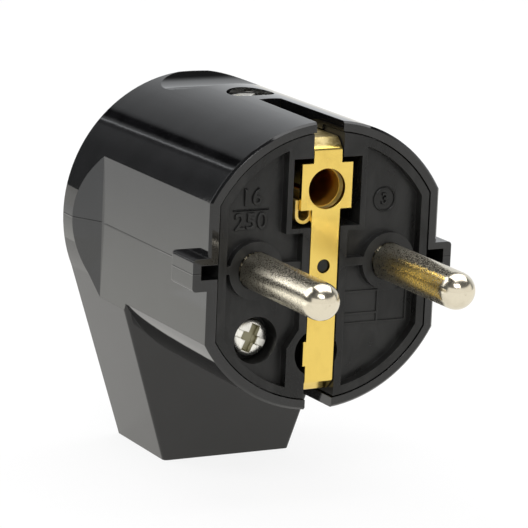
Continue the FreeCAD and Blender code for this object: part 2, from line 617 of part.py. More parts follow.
def make_carrier_block():
    body = new_body("carrier_block")
    plate = front_sketch(body, "carrier_set_back", "plate_face")
    flatted_disc(plate, "body_radius - rim_wall - carrier_gap", "flat_offset - rim_wall - carrier_gap")
    pad(body, plate, "plate_depth", name="plate")

    # Block round the earth sleeve, tongue for the cover screw and rails for the strip's ends
    block = front_sketch(body, PLATE_BACK, "sleeve_block_face")
    rectangle(block, "-sleeve_block_half_width", "sleeve_block_half_width",
              "sleeve_block_low", "sleeve_block_high")
    pad(body, block, f"sleeve_block_end - {PLATE_BACK}", name="sleeve_block")
    tongue = front_sketch(body, PLATE_BACK, "tongue_face")
    rectangle(tongue, "-tongue_half_width", "tongue_half_width", TONGUE_UNDERSIDE, "tongue_top")
    pad(body, tongue, f"tongue_end - {PLATE_BACK}", name="tongue")
    nut_box = front_sketch(body, "nut_box_start", "nut_box_face")
    rectangle(nut_box, "-tongue_half_width", "tongue_half_width", "nut_box_low", "tongue_top")
    pad(body, nut_box, "tongue_end - nut_box_start", name="nut_box")
    rail_top = "strip_level - strip_thickness"
    rails = front_sketch(body, PLATE_BACK, "rail_faces")
    rectangle(rails, "-strip_half_width", "strip_half_width", f"{TONGUE_UNDERSIDE}", rail_top)
    rectangle(rails, "-strip_half_width", "strip_half_width", f"-({rail_top})", "-leg_high")
    pad(body, rails, f"strip_end - {PLATE_BACK}", name="rails")

    # Open chambers that the pins' terminal heads stand in
    chambers = front_sketch(body, PLATE_BACK, "chamber_faces")
    outer_half = f"({CHAMBER_HALF} + block_wall)"
    for side in ("", "-"):
        def at(offset):
            return f"{side}({PIN_PLACE} + {offset})"
        outline(chambers, [
            (at(f"-{outer_half}"), CHAMBER_HALF),
            (at(f"-{outer_half}"), f"-{outer_half}"),
            (at(outer_half), f"-{outer_half}"),
            (at(outer_half), CHAMBER_HALF),
            (at(CHAMBER_HALF), CHAMBER_HALF),
            (at(CHAMBER_HALF), f"-{CHAMBER_HALF}"),
            (at(f"-{CHAMBER_HALF}"), f"-{CHAMBER_HALF}"),
            (at(f"-{CHAMBER_HALF}"), CHAMBER_HALF),
        ])
    pad(body, chambers, "pin_head_length", name="chambers")

    # Leg with the saddle that the cord is clamped on
    leg = front_sketch(body, PLATE_BACK, "leg_face")
    rectangle(leg, "-leg_half_width", "leg_half_width", "-leg_low", "-leg_high")
    pad(body, leg, f"saddle_end - {PLATE_BACK}", name="leg")
    saddle = front_sketch(body, "saddle_start", "saddle_face")
    rectangle(saddle, "-saddle_half_width", "saddle_half_width", "-leg_low", "-leg_high")
    pad(body, saddle, "saddle_end - saddle_start", name="saddle")
    groove = plan_sketch(body, "1 - leg_high", "cord_groove_circle")
    disc(groove, "0", "cord_place", "cord_radius")
    pocket(body, groove, "leg_low - leg_high + 2", "cord_groove")
    pilots = front_sketch(body, "saddle_start", "pilot_circles")
    for side in ("", "-"):
        disc(pilots, f"{side}clamp_screw_across", f"-{CLAMP_HEIGHT}", "clamp_screw_radius")
    pocket(body, pilots, "saddle_end - saddle_start", "pilots")

    # Posts that the bridge behind the terminal heads stands on
    posts = front_sketch(body, PLATE_BACK, "post_circles")
    for side in ("", "-"):
        disc(posts, f"{side}screw_across", "-screw_drop", "post_radius")
    pad(body, posts, "pin_head_length", name="posts")
    peg = front_sketch(body, "head_end", "peg_circle")
    disc(peg, "screw_across", "-screw_drop", "peg_radius")
    pad(body, peg, "bridge_thickness", name="peg")

    # Face: pin holes, earth pocket, strip channel, round hollow and screw well
    pins = front_sketch(body, "0", "pin_hole_circles")
    for side in ("", "-"):
        disc(pins, f"{side}{PIN_PLACE}", "0", "pin_radius + pin_fit")
    pocket(body, pins, f"{PLATE_BACK}", "pin_holes")
    earth = front_sketch(body, "0", "earth_pocket_face")
    rectangle(earth, "-pocket_half_width", "pocket_half_width", "pocket_low", "pocket_high")
    pocket(body, earth, "pocket_end", "earth_pocket")
    bore = front_sketch(body, "0", "sleeve_bore_circle")
    disc(bore, "0", "earth_height", f"{SLEEVE_OUTER} + sleeve_fit")
    pocket(body, bore, "sleeve_block_end + 1", "sleeve_bore")
    hollow = front_sketch(body, "0", "hollow_circle")
    disc(hollow, "-hollow_shift", "-hollow_drop", "hollow_radius")
    pocket(body, hollow, "hollow_depth", "hollow")
    well = front_sketch(body, "0", "well_circle")
    disc(well, "-screw_across", "-screw_drop", "screw_well_radius")
    pocket(body, well, "screw_seat", "screw_well")
    hole = front_sketch(body, "0", "screw_hole_circle")
    disc(hole, "-screw_across", "-screw_drop", "carrier_screw_radius + screw_clearance")
    pocket(body, hole, "head_end + 1", "screw_hole")

    channel = side_sketch(body, "channel_profile")
    slant = "strip_thickness * tan(22.5)"
    inner_y, inner_z = f"({STRIP_BACK} + strip_bend + {slant} - strip_thickness)", f"({rail_top})"
    start_z = f"(strip_level - strip_bend - {slant})"
    outline(channel, [
        ("-1", "-body_radius - 1"),
        (f"{PLATE_BACK} + 1", "-body_radius - 1"),
        (f"{PLATE_BACK} + 1", f"-{inner_z}"),
        (inner_y, f"-{inner_z}"),
        (STRIP_BACK, f"-{start_z}"),
        (STRIP_BACK, start_z),
        (inner_y, inner_z),
        (f"{PLATE_BACK} + 1", inner_z),
        (f"{PLATE_BACK} + 1", "body_radius + 1"),
        ("-1", "body_radius + 1"),
    ])
    across(body, "Pocket", channel, "2 * (strip_half_width + strip_gap)", "channel")
    strip_peg = front_sketch(body, "strip_set_back + strip_thickness / 2", "strip_peg_circle")
    disc(strip_peg, "0", "0", "strip_peg_radius")
    pad(body, strip_peg, "strip_thickness", name="strip_peg")

    # Housing of the cover screw's nut, open towards the back
    nut_half = "(nut_width / 2 + nut_clearance)"
    nut_slot = front_sketch(body, f"cover_screw_place - {nut_half}", "nut_slot_face")
    rectangle(nut_slot, f"-{nut_half}", nut_half, f"{NUT_TOP} - nut_height - nut_clearance", NUT_TOP)
    pocket(body, nut_slot, "tongue_end", "nut_slot")
    shaft = plan_sketch(body, "tongue_top + 1", "shaft_circle")
    disc(shaft, "0", "cover_screw_place", "cover_screw_radius + screw_clearance")
    pocket(body, shaft, "tongue_top + 2 - nut_box_low", "shaft")
    return body


def make_carrier():
    carrier = document.addObject("Part::Cut", "contact_carrier")
    carrier.Base = make_carrier_block()
    carrier.Tool = make_sunk_fields()
    carrier.Refine = True
    return carrier


# Brass earth strip, bent back into both slots

def make_earth_strip():
    body = new_body("earth_strip")
    profile = side_sketch(body, "strip_profile")
    slant = "strip_thickness * tan(22.5)"
    front, back = "strip_set_back", STRIP_BACK
    corner, bend_end = "(strip_level - strip_bend)", "(strip_set_back + strip_bend)"
    outline(profile, [
        (front, f"-{corner}"),
        (front, corner),
        (bend_end, "strip_level"),
        ("strip_end", "strip_level"),
        ("strip_end", "strip_level - strip_thickness"),
        (f"{bend_end} + {slant}", "strip_level - strip_thickness"),
        (back, f"{corner} - {slant}"),
        (back, f"-({corner} - {slant})"),
        (f"{bend_end} + {slant}", "-(strip_level - strip_thickness)"),
        ("strip_end", "-(strip_level - strip_thickness)"),
        ("strip_end", "-strip_level"),
        (bend_end, "-strip_level"),
    ])
    blank = across(body, "Pad", profile, "2 * shoulder_half_width", "blank")
    outer_corners = (worth(corner), worth("strip_level"))

    def bend_edge(edge):
        middle = edge.CenterOfMass
        along_x = edge.BoundBox.XLength > 1.0
        on_outside = min(abs(abs(middle.z) - level) for level in outer_corners) < 1e-4
        return along_x and on_outside and middle.y < worth("strip_end") - 1.0
    ease(body, "Fillet", blank, bend_edge, "strip_thickness", "bends")

    trimmed = front_sketch(body, "-1", "trimming")
    side_out, far = "(shoulder_half_width + 1)", "(body_radius + 2)"
    rectangle(trimmed, "strip_half_width", side_out, f"-{far}", "shoulder_low")
    rectangle(trimmed, "strip_half_width", side_out, "shoulder_high", far)
    rectangle(trimmed, f"-{side_out}", "-strip_half_width", "shoulder_high", far)
    outline(trimmed, [
        (f"-{side_out}", "shoulder_low"),
        ("-strip_half_width", "shoulder_low"),
        ("-strip_half_width", "-bump_high"),
        ("-(strip_half_width + bump_width)", "-bump_high"),
        ("-(strip_half_width + bump_width)", "-bump_low"),
        ("-strip_half_width", "-bump_low"),
        ("-strip_half_width", f"-{far}"),
        (f"-{side_out}", f"-{far}"),
    ])
    pocket(body, trimmed, "strip_end + 2", "trim")
    holes = front_sketch(body, "-1", "hole_circles")
    disc(holes, "0", "earth_height", "strip_hole_radius")
    disc(holes, "0", "0", "strip_peg_hole_radius")
    pocket(body, holes, "strip_end", "holes")
    return body


# Rolled earth sleeve with its contact tail and terminal tab

def make_earth_sleeve():
    body = new_body("earth_sleeve")
    tube = front_sketch(body, "sleeve_start", "tube_circles")
    disc(tube, "0", "earth_height", SLEEVE_OUTER)
    disc(tube, "0", "earth_height", "sleeve_radius")
    pad(body, tube, "sleeve_end - sleeve_start", name="tube")
    seam = front_sketch(body, "0", "seam_face")
    rectangle(seam, f"-({SLEEVE_OUTER} + 1)", "-sleeve_radius / 2",
              "earth_height - sleeve_slit / 2", "earth_height + sleeve_slit / 2")
    pocket(body, seam, "sleeve_end + 1", "seam")
    tab = front_sketch(body, "sleeve_end - 1", "tab_face")
    rectangle(tab, "-tab_half_width", "tab_half_width", TAB_UNDERSIDE, f"{TAB_UNDERSIDE} + sleeve_wall")
    pad(body, tab, "tab_end - sleeve_end + 1", name="tab")
    hole = plan_sketch(body, f"{TAB_UNDERSIDE} + sleeve_wall + 1", "tab_hole_circle")
    disc(hole, "0", "tab_screw_place", "terminal_screw_radius")
    pocket(body, hole, "sleeve_wall + 2", "tab_hole")

    # The tail hooks down and left from the tube and bears on the back of the strip
    tail = front_sketch(body, STRIP_BACK, "tail_outline")
    centre_x, centre_z = "(-curl_across)", "(earth_height - curl_drop)"
    half_hook(tail, centre_x, centre_z, "curl_radius", "curl_radius - curl_wall")
    pad(body, tail, "curl_length", name="curl")
    arms = front_sketch(body, STRIP_BACK, "arm_faces")
    inner = "(curl_radius - curl_wall)"
    rectangle(arms, f"{centre_x} - curl_radius", f"{centre_x} - {inner}", centre_z, f"{centre_z} + curl_rise")
    rectangle(arms, f"{centre_x} + {inner}", f"{centre_x} + curl_radius", centre_z, f"{centre_z} + curl_root")
    pad(body, arms, "curl_length", name="arms")
    return body


# Pins with square terminal heads

def rod(name, radius, length, place, turn):
    """A cylinder that starts at a place and is turned from +Z to its own direction."""
    cylinder = document.addObject("Part::Cylinder", name)
    cylinder.Placement = FreeCAD.Placement(Vector(0, 0, 0), turn)
    bind(cylinder, Radius=radius, Height=length)
    bind(cylinder, Placement__Base__x=place[0], Placement__Base__y=place[1], Placement__Base__z=place[2])
    return cylinder


def make_pin(name, side):
    """A pin with a round tip, and a head with holes for the conductor and its screw."""
    place = f"{side}{PIN_PLACE}"
    shank = rod(f"{name}_shank", "pin_radius", "pin_reach - pin_radius",
                (place, "pin_radius - pin_reach", "0"), FACING_BACK)
    groove = rod(f"{name}_groove", "pin_groove_radius", "pin_groove_width", (place, "0", "0"), FACING_BACK)
    root = rod(f"{name}_root", "pin_radius", f"{PLATE_BACK} - pin_groove_width",
               (place, "pin_groove_width", "0"), FACING_BACK)
    tip = document.addObject("Part::Sphere", f"{name}_tip")
    tip.Placement = FreeCAD.Placement(Vector(0, 0, 0), FACING_BACK)
    bind(tip, Radius="pin_radius", Placement__Base__x=place, Placement__Base__y="pin_radius - pin_reach")
    head = document.addObject("Part::Box", f"{name}_head")
    bind(head, Length="pin_head_width", Width="pin_head_length", Height="pin_head_width",
         Placement__Base__x=f"{place} - pin_head_width / 2", Placement__Base__y=PLATE_BACK,
         Placement__Base__z="-pin_head_width / 2")
    whole = document.addObject("Part::MultiFuse", f"{name}_blank")
    whole.Shapes = [shank, tip, groove, root, head]
    whole.Refine = True
    wire = rod(f"{name}_wire_hole", "wire_hole_radius", "wire_hole_depth + 1",
               (place, "head_end - wire_hole_depth", "0"), FACING_BACK)
    thread = rod(f"{name}_screw_hole", "terminal_screw_radius", "pin_head_width",
                 (place, "terminal_screw_place", "0"), FACING_UP)
    holes = document.addObject("Part::MultiFuse", f"{name}_holes")
    holes.Shapes = [wire, thread]
    pin = document.addObject("Part::Cut", name)
    pin.Base, pin.Tool = whole, holes
    return pin


# Screws, all with a low crowned head and a cross recess

def make_screw(name, kind, length, place, turn):
    """A screw whose head's seat is at a place, and whose head faces along its turn."""
    radius, head, height = f"{kind[0]}_radius", f"{kind[1]}_radius", f"{kind[1]}_height"
    body = new_body(name)
    profile = sketch_on(body, "XZ_Plane", "0", "profile")
    outline(profile, [
        ("0", f"-({length})"),
        (radius, f"-({length})"),
        (radius, "0"),
        (head, "0"),
        (head, f"{height} - crown_height"),
        (f"{head} - crown_width", height),
        ("0", height),
    ])
    turned = body.newObject("PartDesign::Revolution", "turned")
    turned.Profile = profile
    turned.ReferenceAxis = (profile, ["V_Axis"])
    turned.Angle = 360
    cross = plan_sketch(body, height, "cross_recess")
    arm, half = f"({head} * recess_share)", "(recess_width / 2)"
    outline(cross, [
        (half, half), (half, arm), (f"-{half}", arm), (f"-{half}", half),
        (f"-{arm}", half), (f"-{arm}", f"-{half}"), (f"-{half}", f"-{half}"), (f"-{half}", f"-{arm}"),
        (half, f"-{arm}"), (half, f"-{half}"), (arm, f"-{half}"), (arm, half),
    ])
    pocket(body, cross, "recess_sink", "recess")
    body.Placement = FreeCAD.Placement(Vector(0, 0, 0), turn)
    bind(body, Placement__Base__x=place[0], Placement__Base__y=place[1], Placement__Base__z=place[2])
    return body


def group(name, members):
    """Identical fasteners in one node, as separate solids."""
    compound = document.addObject("Part::Compound", name)
    compound.Links = members
    return compound


TERMINAL_SCREW = ("terminal_screw", "terminal_head")
CLAMP_SCREW = ("clamp_screw", "clamp_head")


def make_terminal_screws():
    top = "pin_head_width / 2"
    length = f"{top} + terminal_screw_reach"
    members = [
        make_screw(f"{name}_terminal_screw", TERMINAL_SCREW, length,
                   (f"{side}{PIN_PLACE}", "terminal_screw_place", top), FACING_UP)
        for name, side in (("left", "-"), ("right", ""))
    ]
    return group("terminal_screws", members)


def make_earth_screw():
    length = "washer_thickness + sleeve_wall"
    return make_screw("earth_screw", TERMINAL_SCREW, length,
                      ("0", "tab_screw_place", f"{TAB_UNDERSIDE} - washer_thickness"), FACING_DOWN)


def make_clamp_screws():
    members = [
        make_screw(f"{name}_clamp_screw", CLAMP_SCREW, "clamp_screw_length",
                   (f"{side}clamp_screw_across", CLAMP_BACK, f"-{CLAMP_HEIGHT}"), FACING_BACK)
        for name, side in (("left", "-"), ("right", ""))
    ]
    return group("clamp_screws", members)


def make_carrier_screw():
    return make_screw("carrier_screw", ("carrier_screw", "carrier_head"), "carrier_screw_length",
                      ("-screw_across", "screw_seat", "-screw_drop"), FACING_FRONT)


def make_cover_screw():
    return make_screw("cover_screw", ("cover_screw", "cover_head"), "cover_screw_length",
                      ("0", "cover_screw_place", "cover_seat_height"), FACING_UP)


# Square pieces under the screws

def make_plate_with_hole(name, width, thickness, hole, place_y, low):
    """A square plate that lies level, with a hole in its middle."""
    body = new_body(name)
    face = plan_sketch(body, low, "face")
    rectangle(face, f"-{width} / 2", f"{width} / 2", f"{place_y} - {width} / 2", f"{place_y} + {width} / 2")
    disc(face, "0", place_y, hole)
    pad(body, face, thickness, name="plate")
    return body


def make_cover_nut():
    return make_plate_with_hole("cover_nut", "nut_width", "nut_height", "cover_screw_radius",
                                "cover_screw_place", f"{NUT_TOP} - nut_height")


def make_earth_washer():
    return make_plate_with_hole("earth_washer", "washer_width", "washer_thickness",
                                "terminal_screw_radius", "tab_screw_place",
                                f"{TAB_UNDERSIDE} - washer_thickness")


# Bridge that holds the terminal heads in their chambers

def make_bridge():
    body = new_body("terminal_bridge")
    outer = f"({PIN_PLACE} + {CHAMBER_HALF} + block_wall)"
    face = front_sketch(body, "head_end", "bridge_face")
    rectangle(face, f"-{outer}", outer, "-bridge_low", "bridge_high")
    pad(body, face, "bridge_thickness", name="bar")
    ears = front_sketch(body, "head_end", "ear_faces")
    for side in ("", "-"):
        near = f"{side}(screw_across - bridge_ear_half_width)"
        far = f"{side}(screw_across + bridge_ear_half_width)"
        low = "-(screw_drop + bridge_boss_radius)"
        outline(ears, [(near, low), (far, low), (far, "-bridge_low + 1"), (near, "-bridge_low + 1")])
    pad(body, ears, "bridge_thickness", name="ears")
    boss = front_sketch(body, "head_end + bridge_thickness", "boss_circle")
    disc(boss, "-screw_across", "-screw_drop", "bridge_boss_radius")
    pad(body, boss, "bridge_boss_length", name="boss")
    holes = front_sketch(body, "head_end - 1", "holes")
    for side in ("", "-"):
        disc(holes, f"{side}{PIN_PLACE}", "0", "bridge_wire_radius")
    disc(holes, "-screw_across", "-screw_drop", "carrier_screw_radius")
    disc(holes, "screw_across", "-screw_drop", "peg_radius + peg_clearance")
    pocket(body, holes, "bridge_thickness + bridge_boss_length + 2", "through_holes")
    return body


# Bar that clamps the cord on the carrier's saddle

def make_clamp():
    body = new_body("cord_clamp")
    face = front_sketch(body, "clamp_start", "bar_face")
    rectangle(face, "-clamp_half_width", "clamp_half_width", "-leg_low", "-leg_high")
    pad(body, face, "clamp_thickness", name="bar")
    groove = plan_sketch(body, "1 - leg_high", "groove_circle")
    disc(groove, "0", "cord_place", "cord_radius")
    pocket(body, groove, "leg_low - leg_high + 2", "groove")
    holes = front_sketch(body, "clamp_start - 1", "hole_circles")
    for side in ("", "-"):
        disc(holes, f"{side}clamp_screw_across", f"-{CLAMP_HEIGHT}", "clamp_screw_radius + screw_clearance")
    pocket(body, holes, "clamp_thickness + 2", "screw_holes")
    return body


NODES = {
    "cover": make_cover(),
    "contact_carrier": make_carrier(),
    "pin_left": make_pin("pin_left", "-"),
    "pin_right": make_pin("pin_right", ""),
    "earth_strip": make_earth_strip(),
    "earth_sleeve": make_earth_sleeve(),
    "earth_washer": make_earth_washer(),
    "earth_screw": make_earth_screw(),
    "terminal_screws": make_terminal_screws(),
    "terminal_bridge": make_bridge(),
    "carrier_screw": make_carrier_screw(),
    "cover_screw": make_cover_screw(),
    "cover_nut": make_cover_nut(),
    "cord_clamp": make_clamp(),
    "clamp_screws": make_clamp_screws(),
}

document.recompute()

for thing in document.Objects:
    if "Invalid" in thing.State or "Error" in thing.State:
        raise RuntimeError(f"{thing.Name} failed: {thing.State}")

os.makedirs("parts", exist_ok=True)
for node, thing in NODES.items():
    shape = thing.Shape
    if shape.isNull() or not shape.isValid() or not shape.Solids:
        raise RuntimeError(f"{node} has no valid solid")
    shape.exportStep(f"parts/{node}.step")
    print(node, len(shape.Solids), "solids", round(shape.Volume, 1), "mm3", shape.BoundBox)
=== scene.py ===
import math

import bmesh
import bpy
from bpy.props import FloatProperty, FloatVectorProperty, PointerProperty
from mathutils import Matrix, Vector


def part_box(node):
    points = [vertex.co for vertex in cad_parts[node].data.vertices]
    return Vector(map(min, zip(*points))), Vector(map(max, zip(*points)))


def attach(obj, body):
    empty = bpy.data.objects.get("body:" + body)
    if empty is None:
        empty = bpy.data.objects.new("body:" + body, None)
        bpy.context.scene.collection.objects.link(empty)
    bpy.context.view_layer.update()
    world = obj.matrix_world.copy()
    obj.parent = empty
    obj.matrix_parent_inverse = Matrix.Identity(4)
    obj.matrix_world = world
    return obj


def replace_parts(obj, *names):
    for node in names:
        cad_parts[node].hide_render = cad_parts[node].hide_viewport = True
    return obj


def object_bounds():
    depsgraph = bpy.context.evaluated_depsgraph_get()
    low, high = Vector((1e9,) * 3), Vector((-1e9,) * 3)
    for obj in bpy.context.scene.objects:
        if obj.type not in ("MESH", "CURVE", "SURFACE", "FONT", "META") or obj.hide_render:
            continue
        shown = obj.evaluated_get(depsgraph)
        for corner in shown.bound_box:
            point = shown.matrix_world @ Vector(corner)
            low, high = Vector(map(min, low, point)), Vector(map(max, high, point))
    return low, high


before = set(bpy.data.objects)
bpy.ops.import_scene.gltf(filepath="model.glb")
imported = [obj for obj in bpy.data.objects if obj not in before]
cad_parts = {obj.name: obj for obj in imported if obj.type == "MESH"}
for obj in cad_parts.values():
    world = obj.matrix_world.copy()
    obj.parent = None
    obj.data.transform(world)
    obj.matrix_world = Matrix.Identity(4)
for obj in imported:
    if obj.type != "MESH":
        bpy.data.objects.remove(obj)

bl_info = {
    "name": "Angled mains plug",
    "version": (1, 0, 0),
    "blender": (4, 5, 0),
    "location": "View3D > Sidebar > Plug",
    "description": "Finishes, screws, raised markings and studio for an angled earthed plug",
    "category": "Object",
}

CAD_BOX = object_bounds()
MM = 0.001

# The parting line shows on the side flats only: it fades in between these half widths
FLAT_SIDES = (15.6 * MM, 16.0 * MM)
PARTING_WIDTH = 0.11 * MM

# Along the pins, from the face forward: the polished tip ends, and towards the base the plating gets rougher
# and is painted darker as shade
PIN_TIP = (-17.0 * MM, -16.2 * MM)
PIN_BASE_SHADE = (-12.5 * MM, -0.5 * MM)

# Above this height, where the strip is bent back, it is painted a darker, mottled tan as shade, and made
# duller
BENT_END_SHADE = (15.25 * MM, 15.55 * MM)

# Down the earth sleeve, from the face back: the bore is painted red, then dark, as painted shade
SLEEVE_MOUTH = (2.6 * MM, 5.0 * MM)
SLEEVE_DEPTH = (5.5 * MM, 10.0 * MM)

# Raised markings, and the steps of the two kinds of spun shapes
CAP_HEIGHT = 0.70  # of the font's size
RATING_SPACE = 0.5 * MM
RATING_LINE_WIDTH = 0.25 * MM
CAVITY_RING_WIDTH = 0.3 * MM
CAVITY_NUMBER = 0.7  # of the rating numerals
RING_STEPS = 48
SCREW_STEPS = 72

# Screw heads: radius and height as shares, from the middle to the rim
DOMED = ((0.0, 1.0), (0.40, 0.99), (0.70, 0.955), (0.89, 0.89), (0.97, 0.81), (1.0, 0.70), (1.0, 0.0))
DISHED = ((0.0, 0.88), (0.42, 0.90), (0.78, 0.975), (0.88, 1.0), (0.96, 0.96), (1.0, 0.86), (1.0, 0.0))
HEAD_PLAY = 0.05 * MM
SHANK_CHAMFER = 0.2 * MM
# Distance over which a head's painted shade fades in
HEAD_SHADE_FADE = 0.15 * MM
SMOOTH_BELOW = math.radians(28.0)

# Slot, then cross: length and width in head radii, depth in head heights, degrees, taper of the floor
RECESS_ARMS = (
    (2.6, 0.44, 0.26, 0.0, 0.92),
    (1.06, 0.52, 0.52, 0.0, 0.80),
    (1.66, 0.56, 0.56, 90.0, 0.84),
)

# Ways that a head faces: the axis, which way along it, and the turn from straight up
TO_FRONT = Matrix.Rotation(math.radians(90.0), 4, "X")
FACING_FRONT = (1, -1.0, TO_FRONT)
FACING_UP = (2, 1.0, Matrix())

# The floor lies this much under the foot, so that their faces don't coincide
FLOOR_GAP = 0.05 * MM
FLOOR_SIZE = 8.0

# Share of plain white over the floor where it is seen; the rest shows the shadow
FLOOR_WHITE = 0.87
WARM_WHITE = (1.0, 0.985, 0.94)

# Soft boxes: place, target, width, height and watts
PLUG_MIDDLE = (0.0, 0.010, -0.002)
SOFT_BOXES = {
    "left_box": ((-0.43, 0.47, 0.40), PLUG_MIDDLE, 0.46, 0.50, 1.9),
    "top_box": ((0.28, 0.09, 0.68), (0.28, 0.09, 0.0), 1.00, 0.70, 5.5),
    "front_box": ((-0.25, -0.62, 0.55), PLUG_MIDDLE, 0.40, 0.20, 3.0),
}

# Pale sheets on the floor: middle, width, depth, and the axis along which one glow runs into another
PALE_SHEETS = {
    "side_sheet": ((-0.093, 0.145), 0.10, 0.19, "Y",
                   (0.088, (1.46, 1.45, 1.37)), (0.221, (1.06, 1.06, 1.04))),
    "ramp_sheet": ((-0.165, 0.070), 0.20, 0.08, "X",
                   (-0.090, (1.60, 1.60, 1.56)), (-0.220, (1.40, 1.42, 1.42))),
}
SHEET_LIFT = 1.0 * MM

# Brightness of the dark room by its direction, in degrees from straight behind towards the right
ROOM_LEVELS = (
    (270.0, 0.12),
    (95.0, 0.12),
    (75.0, 0.70),
    (60.0, 0.90),
    (27.0, 0.90),
    (23.5, 0.84),
    (20.5, 0.73),
    (16.0, 0.64),
    (11.0, 0.55),
    (6.0, 0.45),
    (0.0, 0.38),
    (-6.8, 0.30),
    (-7.6, 0.0),
    (-12.5, 0.0),
    (-12.8, 0.8),
    (-13.2, 0.8),
    (-13.6, 0.03),
    (-15.2, 0.19),
    (-18.0, 0.17),
    (-21.5, 0.12),
    (-90.0, 0.12),
)
ROOM_RADIUS = 3.0
ROOM_TINT = (0.96, 0.98, 1.0)

# As shares of the radius: the walls behind end at the ceiling, the foot in front is pale up to a height,
# and the front runs into the back
CEILING_HEIGHT = (0.48, 0.66)
PALE_HEIGHT = (0.38, 0.42)
FRONT_DEPTH = (-0.20, -0.10)
CEILING = (0.05, 0.05, 0.05)
PALE_FOOT = (0.98, 0.96, 0.92)
DARK_FRONT = (0.12, 0.12, 0.12)

# The thin bright gap beside the left box: its direction and where it fades, in degrees, and its strength
BRIGHT_GAP = -13.0
GAP_FADE = (0.08, 0.28)
GAP_STRENGTH = 4.5

# Light that the world sheds on the plug; where it is seen, it is white
WORLD_LEVEL = 0.35
WHITE = (1.0, 1.0, 1.0)

# The camera as fitted to the photograph: place in metres, angles in degrees, lens in millimetres
CAMERA_SPOT = (-0.1973, -0.3574, 0.0917)
CAMERA_YAW = 27.83
CAMERA_PITCH = -12.66
CAMERA_ROLL = 2.40
CAMERA_LENS = 225.8
CAMERA_SENSOR = 36.0
CAMERA_NEAR = 0.01  # metres


def colour(name, description, value):
    return FloatVectorProperty(name=name, description=description, subtype="COLOR", size=3,
                               min=0.0, max=1.0, default=value)


def length(name, description, value):
    return FloatProperty(name=name, description=description, subtype="DISTANCE", unit="LENGTH",
                         min=0.0, default=value)


def place(name, description, value):
    return FloatVectorProperty(name=name, description=description, subtype="TRANSLATION",
                               unit="LENGTH", size=3, default=value)


def turned_by(name, description, degrees):
    return FloatProperty(name=name, description=description, subtype="ANGLE", unit="ROTATION",
                         default=math.radians(degrees))


class PlugSizes(bpy.types.PropertyGroup):
    parting_height: length("Parting line", "Height of the mould's parting line", 0.15 * MM)
    grain: length("Plastic grain", "Size of the moulded plastic's fine grain", 0.12 * MM)
    field_depth: length("Sunk field", "Depth of the sunk fields behind the rim's front", 1.5 * MM)
    relief: length("Relief", "How far the markings stand out of the sunk field", 0.24 * MM)
    numeral: length("Numerals", "Height of the rating numerals", 2.1 * MM)
    rating_place: place("Rating", "Middle of the rating's dividing line", (-10.0 * MM, 0.0, 7.6 * MM))
    rating_line: length("Rating line", "Length of the rating's dividing line", 5.0 * MM)
    cavity_place: place("Cavity mark", "Middle of the mould cavity's ring", (9.1 * MM, 0.0, 7.9 * MM))
    cavity_radius: length("Cavity ring", "Radius of the mould cavity's ring", 1.5 * MM)
    head_height: length("Screw heads", "Height of the heads of the two screws that show", 1.8 * MM)
    face_screw_shank: length("Face screw", "Radius of the face screw's shank", 1.5 * MM)
    top_screw_shank: length("Top screw", "Radius of the top screw's shank", 1.75 * MM)
    face_screw_turn: turned_by("Face screw's turn", "How far the face screw's slot is turned", -24.0)
    top_screw_turn: turned_by("Top screw's turn", "How far the top screw's slot is turned", 35.0)
    # Depth from the crown below which a seen screw's head is painted darker, as shade
    head_shade_depth: length("Grime in the heads", "How deep in a head's recess the grime starts", 0.60 * MM)
    sleeve_axis: length("Sleeve's height", "Height of the earth sleeve's axis", 10.0 * MM)
    sleeve_bore: length("Sleeve's bore", "Inner radius of the earth sleeve", 2.5 * MM)


class PlugColours(bpy.types.PropertyGroup):
    cover: colour("Cover", "Glossy black of the cover", (0.0034, 0.0034, 0.0037))
    carrier: colour("Carrier", "Dull black of the contact carrier", (0.0085, 0.0085, 0.0082))
    inner: colour("Inner plastic", "Grey of the hidden mouldings", (0.05, 0.05, 0.055))
    nickel: colour("Nickel", "Plating of the pins", (0.765, 0.705, 0.57))
    # Also painted over the pins towards their base, as painted shade
    tarnish_and_shade: colour("Tarnish", "Dulled patches of the plating", (0.24, 0.225, 0.185))
    brass: colour("Brass", "Sheet brass of the earth contact", (0.84, 0.615, 0.158))
    # Used for the stains; the dark cut edges are painted shade in a colour of their own
    brass_dark: colour("Stained brass", "Stains and edges of the brass", (0.62, 0.40, 0.09))
    steel: colour("Screws", "Plated steel of the screws", (0.91, 0.90, 0.85))
    floor: colour("Floor", "Pale floor", (0.90, 0.90, 0.90))


# Materials

